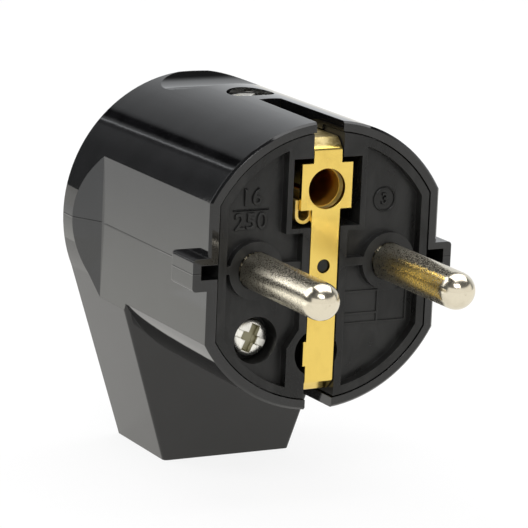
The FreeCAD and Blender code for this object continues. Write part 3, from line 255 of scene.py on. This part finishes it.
class Nodes:
    """A node tree that is built up in small steps. A step of maths or colour returns its output."""

    def __init__(self, tree):
        self.tree = tree

    def add(self, kind, **settings):
        node = self.tree.nodes.new(kind)
        for setting, value in settings.items():
            setattr(node, setting, value)
        return node

    def link(self, source, socket):
        self.tree.links.new(source, socket)

    def put(self, value, socket):
        """Links an output, or sets a plain number, direction or colour."""
        if hasattr(value, "is_linked"):
            self.link(value, socket)
        else:
            socket.default_value = (*value, 1.0) if socket.type == "RGBA" else value

    def maths(self, operation, first, second=0.0):
        step = self.add("ShaderNodeMath", operation=operation)
        self.put(first, step.inputs[0])
        self.put(second, step.inputs[1])
        return step.outputs["Value"]

    def times(self, first, second):
        return self.maths("MULTIPLY", first, second)

    def plus(self, first, second):
        return self.maths("ADD", first, second)

    def most(self, first, second):
        return self.maths("MAXIMUM", first, second)

    def away(self, value, middle):
        """How far a value is from a middle one."""
        return self.maths("ABSOLUTE", self.maths("SUBTRACT", value, middle))

    def sort(self, value, low, high, to_low=0.0, to_high=1.0):
        """A value spread smoothly from one range onto another; low may be above high."""
        span = self.add("ShaderNodeMapRange", interpolation_type="SMOOTHSTEP")
        self.link(value, span.inputs["Value"])
        span.inputs["From Min"].default_value = low
        span.inputs["From Max"].default_value = high
        span.inputs["To Min"].default_value = to_low
        span.inputs["To Max"].default_value = to_high
        return span.outputs["Result"]

    def mix(self, amount, first, second):
        """A colour between two colours."""
        mixer = self.add("ShaderNodeMix", data_type="RGBA")
        self.put(amount, mixer.inputs["Factor"])
        self.put(first, mixer.inputs["A"])
        self.put(second, mixer.inputs["B"])
        return mixer.outputs["Result"]

    def tinge(self, tone, mask, strength, second):
        """A tone with a second colour over it, as strong as given where the mask is 1."""
        return self.mix(self.times(mask, strength), tone, second)

    def shown(self, path):
        """1 for a ray that looks at the surroundings, 0 for one that gathers light for the plug."""
        shine = self.most(path.outputs["Is Glossy Ray"], path.outputs["Is Transmission Ray"])
        return self.most(path.outputs["Is Camera Ray"], shine)


class Surface(Nodes):
    """A material that is built up from texture nodes in the object's own coordinates."""

    # How well a softened normal agrees with the real one, on an edge and on an open face
    AGREEMENT = (0.80, 0.985)

    # How open the surface is, deep in a recess and on an open face
    OPENNESS = (0.35, 0.80)

    def __init__(self, name):
        self.material = bpy.data.materials.new(name)
        self.material.use_nodes = True
        super().__init__(self.material.node_tree)
        self.shader = self.tree.nodes["Principled BSDF"]
        self.coordinates = self.add("ShaderNodeTexCoord").outputs["Object"]

    def set(self, **values):
        """Sets or links the shader's own sockets; an underscore stands for a space."""
        for name, value in values.items():
            self.put(value, self.shader.inputs[name.replace("_", " ")])

    def show(self, output):
        """Makes an output the finished surface."""
        self.link(output, self.tree.nodes["Material Output"].inputs["Surface"])

    def glow(self, tone, strength=1.0):
        lamp = self.add("ShaderNodeEmission")
        self.put(tone, lamp.inputs["Color"])
        self.put(strength, lamp.inputs["Strength"])
        return lamp.outputs["Emission"]

    def axis(self, name):
        parts = self.add("ShaderNodeSeparateXYZ")
        self.link(self.coordinates, parts.inputs["Vector"])
        return parts.outputs[name]

    def stretched(self, scale):
        mapping = self.add("ShaderNodeMapping")
        self.link(self.coordinates, mapping.inputs["Vector"])
        mapping.inputs["Scale"].default_value = scale
        return mapping.outputs["Vector"]

    def noise(self, size, detail=3.0, roughness=0.55, scale=None, distortion=0.0):
        texture = self.add("ShaderNodeTexNoise")
        source = self.stretched(scale) if scale else self.coordinates
        self.link(source, texture.inputs["Vector"])
        texture.inputs["Scale"].default_value = 1.0 / size
        texture.inputs["Detail"].default_value = detail
        texture.inputs["Roughness"].default_value = roughness
        texture.inputs["Distortion"].default_value = distortion
        return texture.outputs["Fac"]

    def cells(self, size):
        texture = self.add("ShaderNodeTexVoronoi", feature="F1")
        self.link(self.coordinates, texture.inputs["Vector"])
        texture.inputs["Scale"].default_value = 1.0 / size
        return texture.outputs["Distance"]

    def specks(self, size, inner, outer):
        """1 in small round specks, 0 elsewhere."""
        return self.sort(self.cells(size), inner, outer, 1.0, 0.0)

    def line_at(self, axis, middle, width):
        """1 on a thin band where a coordinate has a value, 0 elsewhere."""
        return self.sort(self.away(self.axis(axis), middle), width * 0.3, width, 1.0, 0.0)

    def vectors(self, operation, first, second):
        step = self.add("ShaderNodeVectorMath", operation=operation)
        self.put(first, step.inputs[0])
        self.put(second, step.inputs[1])
        return step.outputs["Value" if operation == "DOT_PRODUCT" else "Vector"]

    def edges(self, radius):
        """1 near sharp edges, 0 on open faces."""
        bevel = self.add("ShaderNodeBevel", samples=4)
        bevel.inputs["Radius"].default_value = radius
        geometry = self.add("ShaderNodeNewGeometry")
        product = self.vectors("DOT_PRODUCT", bevel.outputs["Normal"], geometry.outputs["Normal"])
        return self.sort(product, *self.AGREEMENT, 1.0, 0.0)

    def turned(self, axis):
        """Stretches highlights along an axis, as fine turning marks around it do."""
        normal = self.add("ShaderNodeNewGeometry").outputs["Normal"]
        along = tuple(float(name == axis) for name in "XYZ")
        around = self.vectors("CROSS_PRODUCT", normal, along)
        self.link(self.vectors("CROSS_PRODUCT", around, normal), self.shader.inputs["Tangent"])

    def recess(self, reach):
        """1 deep in a slot of the piece, 0 on open faces."""
        shade = self.add("ShaderNodeAmbientOcclusion", samples=8, only_local=True)
        shade.inputs["Distance"].default_value = reach
        return self.sort(shade.outputs["AO"], *self.OPENNESS, 1.0, 0.0)

    def bump(self, soften, *layers):
        """Softens edges by a radius, then raises the surface by layers of (height output, metres)."""
        bevel = self.add("ShaderNodeBevel", samples=6)
        bevel.inputs["Radius"].default_value = soften
        normal = bevel.outputs["Normal"]
        for height, distance in layers:
            step = self.add("ShaderNodeBump")
            step.inputs["Distance"].default_value = distance
            self.link(height, step.inputs["Height"])
            self.link(normal, step.inputs["Normal"])
            normal = step.outputs["Normal"]
        self.link(normal, self.shader.inputs["Normal"])


def shade(tone, factor):
    """A colour made paler or darker by a factor."""
    return tuple(min(1.0, part * factor) for part in tone)


def glossy_black(sizes, colours):
    """Injection moulded glossy black plastic: slightly wavy, with dust and handling marks."""
    surface = Surface("glossy_black_plastic")
    wave = surface.noise(5.0 * MM)
    ripple = surface.noise(1.1 * MM, 3.0, 0.6)
    peel = surface.noise(0.30 * MM, 2.0, 0.5)
    fine = surface.noise(sizes.grain, 2.0)
    dust = surface.specks(0.9 * MM, 0.05, 0.09)
    rub = surface.sort(surface.noise(9.0 * MM, 6.0, 0.75), 0.52, 0.72)
    scuff = surface.sort(surface.noise(0.5 * MM, 5.0, 0.8, (1.0, 0.3, 1.0)), 0.52, 0.75)
    seam = surface.line_at("Z", sizes.parting_height, PARTING_WIDTH)
    beside = surface.sort(surface.away(surface.axis("X"), 0.0), *FLAT_SIDES)
    tone = surface.mix(surface.sort(wave, 0.35, 0.65), colours.cover, shade(colours.cover, 1.7))
    tone = surface.tinge(tone, dust, 0.08, (0.16, 0.16, 0.15))
    worn = surface.times(surface.times(rub, scuff), 0.10)
    rough = surface.plus(surface.sort(fine, 0.3, 0.7, 0.025, 0.050), worn)
    surface.set(Base_Color=tone, Roughness=rough, IOR=1.56)
    surface.bump(0.10 * MM, (surface.times(seam, beside), 0.035 * MM), (wave, 0.008 * MM),
                 (ripple, 0.0010 * MM), (peel, 0.0008 * MM), (fine, 0.0003 * MM))
    return surface.material


def dull_black(sizes, colours):
    """The carrier's duller moulding, with flow marks, specks and paler worn edges."""
    surface = Surface("dull_black_plastic")
    flow = surface.noise(3.5 * MM, 5.0, 0.6, (1.0, 1.0, 0.45), 0.8)
    fine = surface.noise(sizes.grain * 0.8, 3.0, 0.7)
    speck = surface.specks(0.55 * MM, 0.06, 0.11)
    worn = surface.edges(0.09 * MM)
    tone = surface.mix(surface.sort(flow, 0.35, 0.7), colours.carrier, shade(colours.carrier, 2.4))
    tone = surface.tinge(tone, worn, 0.28, (0.045, 0.045, 0.043))
    tone = surface.tinge(tone, speck, 0.12, (0.10, 0.10, 0.095))
    rough = surface.sort(flow, 0.3, 0.75, 0.26, 0.42)
    surface.set(Base_Color=tone, Roughness=rough, IOR=1.50, Specular_IOR_Level=0.30)
    surface.bump(0.08 * MM, (flow, 0.020 * MM), (fine, 0.004 * MM))
    return surface.material


def inner_grey(sizes, colours):
    """Plain technical moulding of the hidden pieces."""
    surface = Surface("inner_plastic")
    flow = surface.noise(4.0 * MM, 4.0)
    fine = surface.noise(sizes.grain * 1.5)
    tone = surface.mix(surface.sort(flow, 0.35, 0.7), colours.inner, shade(colours.inner, 1.6))
    surface.set(Base_Color=tone, Roughness=surface.sort(flow, 0.3, 0.7, 0.45, 0.60))
    surface.bump(0.08 * MM, (flow, 0.015 * MM), (fine, 0.006 * MM))
    return surface.material


def plated_nickel(colours):
    """Turned and plated brass: mottled along the shank, rougher and painted darker as shade towards the base,
    polished at the tip.
    """
    surface = Surface("nickel_plating")
    along = surface.axis("Y")
    shank = surface.sort(along, *PIN_TIP)
    base = surface.sort(along, *PIN_BASE_SHADE)
    mottle = surface.noise(0.20 * MM, 2.0, 0.6)
    cloud = surface.noise(2.0 * MM, 4.0, 0.6)
    pits = surface.times(surface.sort(mottle, 0.48, 0.62), shank)
    # How far the plating turns dark: mottled dull patches, plus painted shade towards the base
    dull = surface.plus(surface.times(pits, 0.28), surface.times(base, 0.62))
    tone = surface.mix(dull, colours.nickel, colours.tarnish_and_shade)
    tone = surface.tinge(tone, surface.sort(cloud, 0.45, 0.65), 0.15, (0.42, 0.37, 0.28))
    polish = surface.sort(along, *PIN_TIP, 0.19, 0.07)
    matt = surface.times(shank, surface.sort(mottle, 0.40, 0.62, 0.10, 0.26))
    rough = surface.plus(surface.plus(matt, polish), surface.times(base, 0.10))
    surface.set(Base_Color=tone, Metallic=1.0, Roughness=rough, Anisotropic=0.55)
    surface.turned("Y")
    surface.bump(0.05 * MM, (surface.times(mottle, shank), 0.016 * MM),
                 (surface.times(cloud, shank), 0.020 * MM))
    return surface.material


def sheet_brass(colours):
    """Rolled and stamped brass, a little stained, with painted shade along its cut edges and a darker tan
    bent end that is painted shade too.
    """
    surface = Surface("sheet_brass")
    stain = surface.noise(4.0 * MM, 4.0, 0.6)
    rolled = surface.noise(0.20 * MM, 3.0, 0.6, (1.0, 1.0, 0.05))
    fleck = surface.sort(surface.noise(0.9 * MM, 4.0, 0.7), 0.62, 0.78)
    blotch = surface.sort(surface.noise(1.1 * MM, 4.0, 0.7), 0.40, 0.62)
    cut = surface.edges(0.09 * MM)
    end = surface.sort(surface.axis("Z"), *BENT_END_SHADE)
    tone = surface.mix(surface.sort(stain, 0.45, 0.78, 0.0, 0.35), colours.brass, colours.brass_dark)
    tone = surface.tinge(tone, fleck, 0.12, (0.95, 0.76, 0.36))
    # Painted shade: dark brown along the cut edges
    tone = surface.tinge(tone, cut, 0.30, (0.34, 0.19, 0.045))
    # Painted shade: the bent end is a darker, mottled tan
    tone = surface.mix(end, tone, surface.mix(blotch, (0.56, 0.46, 0.22), (0.36, 0.27, 0.10)))
    rough = surface.plus(surface.sort(stain, 0.35, 0.75, 0.15, 0.25), surface.times(rolled, 0.06))
    rough = surface.most(rough, surface.times(end, 0.42))
    surface.set(Base_Color=tone, Metallic=1.0, Roughness=rough)
    surface.bump(0.10 * MM, (stain, 0.020 * MM), (rolled, 0.0012 * MM))
    return surface.material


def rolled_brass(sizes, colours):
    """The sleeve's rolled brass: gold at its mouth, shinier down the bore, where painted shade turns it red,
    then dark.
    """
    surface = Surface("rolled_brass")
    stain = surface.noise(1.6 * MM, 4.0, 0.6)
    patch = surface.sort(stain, 0.4, 0.7)
    across = surface.axis("X")
    height = surface.maths("SUBTRACT", surface.axis("Z"), sizes.sleeve_axis)
    radius = surface.maths("SQRT", surface.plus(surface.times(across, across), surface.times(height, height)))
    bore = surface.sort(radius, sizes.sleeve_bore + 0.05 * MM, sizes.sleeve_bore + 0.15 * MM, 1.0, 0.0)
    mouth = surface.sort(surface.axis("Y"), *SLEEVE_MOUTH)
    depth = surface.sort(surface.axis("Y"), *SLEEVE_DEPTH)
    # Painted shade in the bore: gold at the mouth, turning red, then dark red deeper down
    gold = surface.mix(patch, (1.0, 0.66, 0.12), (0.92, 0.55, 0.09))
    red = surface.mix(depth, (0.95, 0.42, 0.04), (0.62, 0.22, 0.02))
    outside = surface.mix(patch, colours.brass, (0.78, 0.62, 0.30))
    tone = surface.mix(bore, outside, surface.mix(mouth, gold, red))
    rough = surface.plus(surface.sort(stain, 0.3, 0.7, 0.10, 0.20), surface.sort(mouth, 0.0, 1.0, 0.36, 0.18))
    surface.set(Base_Color=tone, Metallic=1.0, Roughness=rough)
    surface.bump(0.10 * MM, (stain, 0.015 * MM))
    return surface.material


def plated_steel(colours, name, smooth, dull, head_shade=None):
    """Plated steel with driver scuffs and painted shade in its slots; the last argument gives the axis, start
    and end of a painted shade deep in a head.
    """
    surface = Surface(name)
    scuff = surface.noise(0.5 * MM, 5.0, 0.7, (1.0, 0.5, 0.25), 1.2)
    cloud = surface.noise(1.6 * MM)
    worn = surface.edges(0.12 * MM)
    tone = surface.mix(surface.sort(scuff, 0.45, 0.72, 0.0, 0.5), colours.steel, shade(colours.steel, 0.72))
    tone = surface.tinge(tone, worn, 0.5, (0.92, 0.90, 0.85))
    # Painted shade: darker deep in a head's slots, where little light gets in
    tone = surface.tinge(tone, surface.recess(0.7 * MM), 0.6, (0.20, 0.19, 0.12))
    rough = surface.sort(cloud, 0.3, 0.7, smooth, dull)
    # Painted shade: below a depth from the crown a head is darker and rougher, in its slots and down its
    # sides
    if head_shade:
        axis, start, end = head_shade
        head_shade_mask = surface.sort(surface.axis(axis), start, end)
        tone = surface.tinge(tone, head_shade_mask, 0.85, (0.27, 0.25, 0.14))
        rough = surface.most(rough, surface.times(head_shade_mask, 0.55))
    surface.set(Base_Color=tone, Metallic=1.0, Roughness=rough)
    surface.bump(0.10 * MM, (scuff, 0.020 * MM), (cloud, 0.020 * MM))
    return surface.material


def pale_floor(colours):
    """A white floor that keeps the plug's shadow, and is slightly warm in reflections."""
    surface = Surface("pale_floor")
    path = surface.add("ShaderNodeLightPath")
    glow = surface.glow(surface.mix(path.outputs["Is Glossy Ray"], WHITE, WARM_WHITE))
    tone = surface.mix(surface.noise(0.12, 2.0), colours.floor, shade(colours.floor, 0.99))
    surface.set(Base_Color=tone, Roughness=0.9)
    mixer = surface.add("ShaderNodeMixShader")
    surface.link(surface.times(surface.shown(path), FLOOR_WHITE), mixer.inputs["Fac"])
    surface.link(surface.shader.outputs["BSDF"], mixer.inputs[1])
    surface.link(glow, mixer.inputs[2])
    surface.show(mixer.outputs["Shader"])
    return surface.material


# Shapes

def as_mesh(shape, name):
    """A mesh from a bmesh, which is freed."""
    mesh = bpy.data.meshes.new(name)
    shape.to_mesh(mesh)
    shape.free()
    return mesh


def in_scene(name, data):
    """A new object of the scene, at the origin."""
    holder = bpy.data.objects.new(name, data)
    bpy.context.scene.collection.objects.link(holder)
    return holder


def dress(material, *names):
    """Gives CAD pieces their finish in place of the plain one."""
    for name in names:
        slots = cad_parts[name].data.materials
        for index in range(len(slots)):
            slots[index] = material


def finished(name, mesh, material):
    """A new piece, parented to the root body's empty."""
    piece = in_scene(name, mesh)
    mesh.materials.clear()
    mesh.materials.append(material)
    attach(piece, "root")
    return piece


def numeral_mesh(text, size, thickness, name):
    """Raised numerals, centred on the origin and standing up from it."""
    curve = bpy.data.curves.new(name, "FONT")
    curve.body = text
    curve.size = size / CAP_HEIGHT
    curve.extrude = thickness / 2
    curve.bevel_depth = thickness * 0.12
    curve.bevel_resolution = 1
    curve.resolution_u = 4
    curve.space_character = 1.05
    curve.align_x = "CENTER"
    curve.align_y = "CENTER"
    holder = bpy.data.objects.new(name, curve)
    mesh = bpy.data.meshes.new_from_object(holder)
    bpy.data.objects.remove(holder)
    bpy.data.curves.remove(curve)
    return mesh


def bar_mesh(across, up, thickness, name):
    """A raised line with eased upper edges."""
    shape = bmesh.new()
    bmesh.ops.create_cube(shape, size=1.0)
    bmesh.ops.scale(shape, vec=(across, up, thickness), verts=shape.verts)
    upper = [edge for edge in shape.edges if all(corner.co.z > 0 for corner in edge.verts)]
    bmesh.ops.bevel(shape, geom=upper, offset=thickness * 0.35, offset_type="OFFSET", segments=2,
                    profile=0.5, affect="EDGES", material=-1)
    return as_mesh(shape, name)


def spun(section, steps, closed=False):
    """A body spun about the upright axis from its half section."""
    shape = bmesh.new()
    corners = [shape.verts.new((across, 0.0, up)) for across, up in section]
    edges = [shape.edges.new(pair) for pair in zip(corners, corners[1:])]
    if closed:
        edges.append(shape.edges.new((corners[-1], corners[0])))
    bmesh.ops.spin(shape, geom=corners + edges, cent=(0, 0, 0), axis=(0, 0, 1), angle=math.tau, steps=steps,
                   use_merge=True)
    bmesh.ops.remove_doubles(shape, verts=shape.verts, dist=0.001 * MM)
    bmesh.ops.recalc_face_normals(shape, faces=shape.faces)
    return shape


def ring_section(radius, width, thickness):
    """The rounded section of a raised ring."""
    half = width / 2
    shoulder = thickness * 0.75
    return ((radius - half, 0.0), (radius - half * 0.7, shoulder), (radius, thickness),
            (radius + half * 0.7, shoulder), (radius + half, 0.0))


def screw_section(form, head, height, radius, reach):
    """Half section of a screw, from the middle of its head to the shank's end."""
    crown = [(head * across, height * up) for across, up in form]
    shank = [(radius, 0.0), (radius, SHANK_CHAMFER - reach), (radius - SHANK_CHAMFER, -reach), (0.0, -reach)]
    return crown + shank


def screw_cutter(head, height):
    """The slot and the tapered cross that are pressed into a screw's head."""
    shape = bmesh.new()
    for long, wide, deep, turn, taper in RECESS_ARMS:
        made = bmesh.ops.create_cube(shape, size=1.0)["verts"]
        bmesh.ops.scale(shape, vec=(long * head, wide * head, 2.0 * deep * height), verts=made)
        bmesh.ops.translate(shape, vec=(0.0, 0.0, height), verts=made)
        floor = [corner for corner in made if corner.co.z < height]
        bmesh.ops.scale(shape, vec=(taper, taper, 1.0), verts=floor)
        turning = Matrix.Rotation(math.radians(turn), 3, "Z")
        bmesh.ops.rotate(shape, cent=(0, 0, 0), matrix=turning, verts=made)
    return shape


def carved(body, cutter, name):
    """A mesh of one shape with another cut out of it."""
    holders = [in_scene(f"{name}_{part}", as_mesh(shape, f"{name}_{part}"))
               for part, shape in (("body", body), ("cutter", cutter))]
    cut = holders[0].modifiers.new("recess", "BOOLEAN")
    cut.operation = "DIFFERENCE"
    cut.solver = "EXACT"
    cut.use_self = True
    cut.object = holders[1]
    graph = bpy.context.evaluated_depsgraph_get()
    mesh = bpy.data.meshes.new_from_object(holders[0].evaluated_get(graph))
    for holder in holders:
        bpy.data.meshes.remove(holder.data)  # and its object with it
    mesh.name = name
    mesh.shade_smooth()
    mesh.set_sharp_from_angle(angle=SMOOTH_BELOW)
    return mesh


# Studio

def stage_piece(name, shape, material, seen=False):
    """A piece of the studio. Unless it is seen, only reflections show it."""
    mesh = as_mesh(shape, name)
    mesh.materials.append(material)
    holder = in_scene(name, mesh)
    holder.visible_camera = seen
    holder.visible_diffuse = seen
    holder.visible_shadow = seen


def level_sheet(middle, width, depth):
    """A flat sheet that faces up."""
    shape = bmesh.new()
    bmesh.ops.create_grid(shape, x_segments=1, y_segments=1, size=0.5)
    bmesh.ops.scale(shape, vec=(width, depth, 1.0), verts=shape.verts)
    bmesh.ops.translate(shape, vec=middle, verts=shape.verts)
    return shape


def soft_box(name, spot, target, width, height, power):
    """An area lamp that faces a target."""
    lamp = bpy.data.lights.new(name, "AREA")
    lamp.shape = "RECTANGLE"
    lamp.size = width
    lamp.size_y = height
    lamp.energy = power
    aim = Vector(target) - Vector(spot)
    turn = aim.to_track_quat("-Z", "Y").to_matrix().to_4x4()
    in_scene(name, lamp).matrix_world = Matrix.Translation(spot) @ turn


def pale_glow(name, axis, near, far):
    """A glow that runs from one colour to another along an axis; each end is a place and a colour."""
    surface = Surface(name)
    away = surface.sort(surface.axis(axis), near[0], far[0])
    surface.show(surface.glow(surface.mix(away, near[1], far[1])))
    return surface.material


def round_share(angle):
    """Where a direction of ROOM_LEVELS lies on the radial gradient, which runs from 0 to 1."""
    return 0.75 - angle / 360.0


def room_glow(name):
    """Walls as dark as ROOM_LEVELS says behind the plug, and pale at the foot in front of it."""
    surface = Surface(name)
    gradient = surface.add("ShaderNodeTexGradient", gradient_type="RADIAL")
    surface.link(surface.coordinates, gradient.inputs["Vector"])
    turn = gradient.outputs["Fac"]
    ramp = surface.add("ShaderNodeValToRGB")
    stops = ramp.color_ramp.elements
    stops.remove(stops[-1])
    for index, (angle, level) in enumerate(ROOM_LEVELS):
        stop = stops.new(round_share(angle)) if index else stops[0]
        stop.color = (*(level * part for part in ROOM_TINT), 1.0)
    surface.link(turn, ramp.inputs["Fac"])
    height = surface.maths("DIVIDE", surface.axis("Z"), ROOM_RADIUS)
    depth = surface.maths("DIVIDE", surface.axis("Y"), ROOM_RADIUS)
    behind = surface.mix(surface.sort(height, *CEILING_HEIGHT), ramp.outputs["Color"], CEILING)
    ahead = surface.mix(surface.sort(height, *PALE_HEIGHT), PALE_FOOT, DARK_FRONT)
    tone = surface.mix(surface.sort(depth, *FRONT_DEPTH), ahead, behind)
    gap = surface.away(turn, round_share(BRIGHT_GAP))
    inner, outer = (angle / 360.0 for angle in GAP_FADE)
    surface.show(surface.glow(tone, surface.sort(gap, inner, outer, GAP_STRENGTH, 1.0)))
    return surface.material


def dome(radius, foot):
    """The part of a sphere above the foot."""
    shape = bmesh.new()
    bmesh.ops.create_uvsphere(shape, u_segments=96, v_segments=48, radius=radius)
    bmesh.ops.bisect_plane(shape, geom=[*shape.verts, *shape.edges, *shape.faces], plane_co=(0.0, 0.0, foot),
                           plane_no=(0.0, 0.0, 1.0), clear_inner=True)
    return shape


def white_world():
    """A world that is white where it is seen, and lights the plug at a plain level."""
    world = bpy.data.worlds.new("studio_white")
    world.use_nodes = True
    nodes = Nodes(world.node_tree)
    background = nodes.tree.nodes["Background"]
    seen = nodes.shown(nodes.add("ShaderNodeLightPath"))
    nodes.put(nodes.sort(seen, 0.0, 1.0, WORLD_LEVEL, 1.0), background.inputs["Strength"])
    nodes.put(WHITE, background.inputs["Color"])
    return world


def camera_place(spot, yaw, pitch, roll):
    """The camera's place: yaw from +Y towards +X, pitch above level and roll, in degrees."""
    yaw, pitch, roll = (math.radians(angle) for angle in (yaw, pitch, roll))
    ahead = Vector((math.sin(yaw) * math.cos(pitch), math.cos(yaw) * math.cos(pitch), math.sin(pitch)))
    right = ahead.cross(Vector((0.0, 0.0, 1.0))).normalized()
    up = right.cross(ahead)
    turned_right = math.cos(roll) * right + math.sin(roll) * up
    turned_up = math.cos(roll) * up - math.sin(roll) * right
    axes = Matrix((turned_right, turned_up, -ahead)).transposed()
    return Matrix.Translation(spot) @ axes.to_4x4()


def photo_camera():
    """A camera at the photograph's angle and distance."""
    lens = bpy.data.cameras.new("camera")
    lens.sensor_width = CAMERA_SENSOR
    lens.lens = CAMERA_LENS
    lens.clip_start = CAMERA_NEAR
    holder = in_scene("camera", lens)
    holder.matrix_world = camera_place(CAMERA_SPOT, CAMERA_YAW, CAMERA_PITCH, CAMERA_ROLL)
    return holder


# Operators

class PlugStep(bpy.types.Operator):
    """One step of dressing the plug"""
    bl_options = {"REGISTER", "UNDO"}

    @property
    def sizes(self):
        return bpy.context.scene.plug_sizes

    @property
    def colours(self):
        return bpy.context.scene.plug_colours


class PLUG_OT_cover(PlugStep):
    """Gives the cover its glossy black plastic"""
    bl_idname = "plug.cover"
    bl_label = "Finish the cover"

    def execute(self, context):
        dress(glossy_black(self.sizes, self.colours), "cover")
        return {"FINISHED"}


class PLUG_OT_carrier(PlugStep):
    """Gives the contact carrier and the hidden mouldings their plastic"""
    bl_idname = "plug.carrier"
    bl_label = "Finish the contact carrier"

    def execute(self, context):
        dress(dull_black(self.sizes, self.colours), "contact_carrier")
        dress(inner_grey(self.sizes, self.colours), "terminal_bridge", "cord_clamp")
        return {"FINISHED"}


class PLUG_OT_pins(PlugStep):
    """Gives the two pins their nickel plating"""
    bl_idname = "plug.pins"
    bl_label = "Finish the pins"

    def execute(self, context):
        dress(plated_nickel(self.colours), "pin_left", "pin_right")
        return {"FINISHED"}


class PLUG_OT_earth(PlugStep):
    """Gives the earth strip and the earth sleeve their brass"""
    bl_idname = "plug.earth"
    bl_label = "Finish the earth contact"

    def execute(self, context):
        dress(sheet_brass(self.colours), "earth_strip")
        dress(rolled_brass(self.sizes, self.colours), "earth_sleeve")
        return {"FINISHED"}


class PLUG_OT_screws(PlugStep):
    """Gives the hidden screws, the nut and the washer their plated steel"""
    bl_idname = "plug.screws"
    bl_label = "Finish the hidden screws"

    def execute(self, context):
        dress(plated_steel(self.colours, "plated_steel", 0.30, 0.44),
              "cover_nut", "terminal_screws", "earth_screw", "earth_washer", "clamp_screws")
        return {"FINISHED"}


class PLUG_OT_seen_screws(PlugStep):
    """Makes the two screws that show, with rounded heads, a slot and a cross"""
    bl_idname = "plug.seen_screws"
    bl_label = "Make the screws that show"

    def make(self, name, node, form, facing, shank, turn, shine):
        """Puts a screw in the place of its CAD node; shine is its least and most roughness."""
        low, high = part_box(node)
        axis, outward, facing_turn = facing
        side = (axis + 1) % 3
        head = (high[side] - low[side]) / 2
        height = self.sizes.head_height
        reach = high[axis] - low[axis] - height
        section = screw_section(form, head - HEAD_PLAY, height, shank, reach)
        mesh = carved(spun(section, SCREW_STEPS), screw_cutter(head, height), name)
        mesh.transform(Matrix.Translation((0.0, 0.0, (reach - height) / 2)))
        middle = (Vector(low) + Vector(high)) / 2
        mesh.transform(Matrix.Translation(middle) @ facing_turn @ Matrix.Rotation(turn, 4, "Z"))
        crown = high[axis] if outward > 0 else low[axis]
        # The head's painted shade starts this deep below its crown
        start = crown - outward * self.sizes.head_shade_depth
        head_shade = ("XYZ"[axis], start, start - outward * HEAD_SHADE_FADE)
        material = plated_steel(self.colours, f"{name}_steel", *shine, head_shade)
        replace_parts(finished(name, mesh, material), node)

    def execute(self, context):
        sizes = self.sizes
        self.make("face_screw", "carrier_screw", DOMED, FACING_FRONT, sizes.face_screw_shank,
                  sizes.face_screw_turn, (0.24, 0.36))
        self.make("top_screw", "cover_screw", DISHED, FACING_UP, sizes.top_screw_shank,
                  sizes.top_screw_turn, (0.30, 0.45))
        return {"FINISHED"}


class PLUG_OT_markings(PlugStep):
    """Raises the rating numerals and the mould cavity's number on the sunk field"""
    bl_idname = "plug.markings"
    bl_label = "Raise the markings"

    def execute(self, context):
        sizes = self.sizes
        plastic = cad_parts["contact_carrier"].data.materials[0]
        numeral = sizes.numeral
        thick = sizes.relief * 2
        ring = ring_section(sizes.cavity_radius, CAVITY_RING_WIDTH, sizes.relief)
        rating_spot = Vector(sizes.rating_place)
        cavity_spot = Vector(sizes.cavity_place)
        up = Vector((0.0, 0.0, numeral * 0.5 + RATING_SPACE))
        plans = (
            (numeral_mesh("16", numeral, thick, "rating_amperes"), rating_spot + up),
            (numeral_mesh("250", numeral, thick, "rating_volts"), rating_spot - up),
            (bar_mesh(sizes.rating_line, RATING_LINE_WIDTH, thick, "rating_line"), rating_spot),
            (as_mesh(spun(ring, RING_STEPS, closed=True), "cavity_ring"), cavity_spot),
            (numeral_mesh("3", numeral * CAVITY_NUMBER, thick, "cavity_number"), cavity_spot),
        )
        for mesh, spot in plans:
            mesh.transform(Matrix.Translation((spot.x, sizes.field_depth, spot.z)) @ TO_FRONT)
            finished(mesh.name, mesh, plastic)
        return {"FINISHED"}


class PLUG_OT_stage(PlugStep):
    """Sets up the floor, the lights, the room and the camera"""
    bl_idname = "plug.stage"
    bl_label = "Set up the studio"

    def execute(self, context):
        scene = context.scene
        foot = CAD_BOX[0][2]
        floor = level_sheet((0.0, 0.0, foot - FLOOR_GAP), FLOOR_SIZE, FLOOR_SIZE)
        stage_piece("floor", floor, pale_floor(self.colours), seen=True)
        for name, plan in SOFT_BOXES.items():
            soft_box(name, *plan)
        for name, (middle, width, depth, axis, near, far) in PALE_SHEETS.items():
            sheet = level_sheet((*middle, foot + SHEET_LIFT), width, depth)
            stage_piece(name, sheet, pale_glow(name, axis, near, far))
        stage_piece("dark_room", dome(ROOM_RADIUS, foot), room_glow("dark_room"))
        scene.world = white_world()
        scene.camera = photo_camera()
        scene.view_settings.view_transform = "Standard"
        return {"FINISHED"}


class PLUG_PT_steps(bpy.types.Panel):
    """Sizes, colours and steps of the plug"""
    bl_label = "Angled mains plug"
    bl_idname = "PLUG_PT_steps"
    bl_space_type = "VIEW_3D"
    bl_region_type = "UI"
    bl_category = "Plug"

    def draw(self, context):
        for group in (context.scene.plug_sizes, context.scene.plug_colours):
            column = self.layout.column()
            for name in group.__annotations__:
                column.prop(group, name)
        for step in STEPS:
            self.layout.operator(step.bl_idname)


STEPS = (
    PLUG_OT_cover,
    PLUG_OT_carrier,
    PLUG_OT_pins,
    PLUG_OT_earth,
    PLUG_OT_screws,
    PLUG_OT_seen_screws,
    PLUG_OT_markings,
    PLUG_OT_stage,
)
CLASSES = (PlugSizes, PlugColours, *STEPS, PLUG_PT_steps)


def register():
    for kind in CLASSES:
        bpy.utils.register_class(kind)
    bpy.types.Scene.plug_sizes = PointerProperty(type=PlugSizes)
    bpy.types.Scene.plug_colours = PointerProperty(type=PlugColours)


def unregister():
    del bpy.types.Scene.plug_colours
    del bpy.types.Scene.plug_sizes
    for kind in reversed(CLASSES):
        bpy.utils.unregister_class(kind)


def main():
    register()
    for step in STEPS:
        family, name = step.bl_idname.split(".")
        getattr(getattr(bpy.ops, family), name)()


if __name__ == "__main__":
    main()
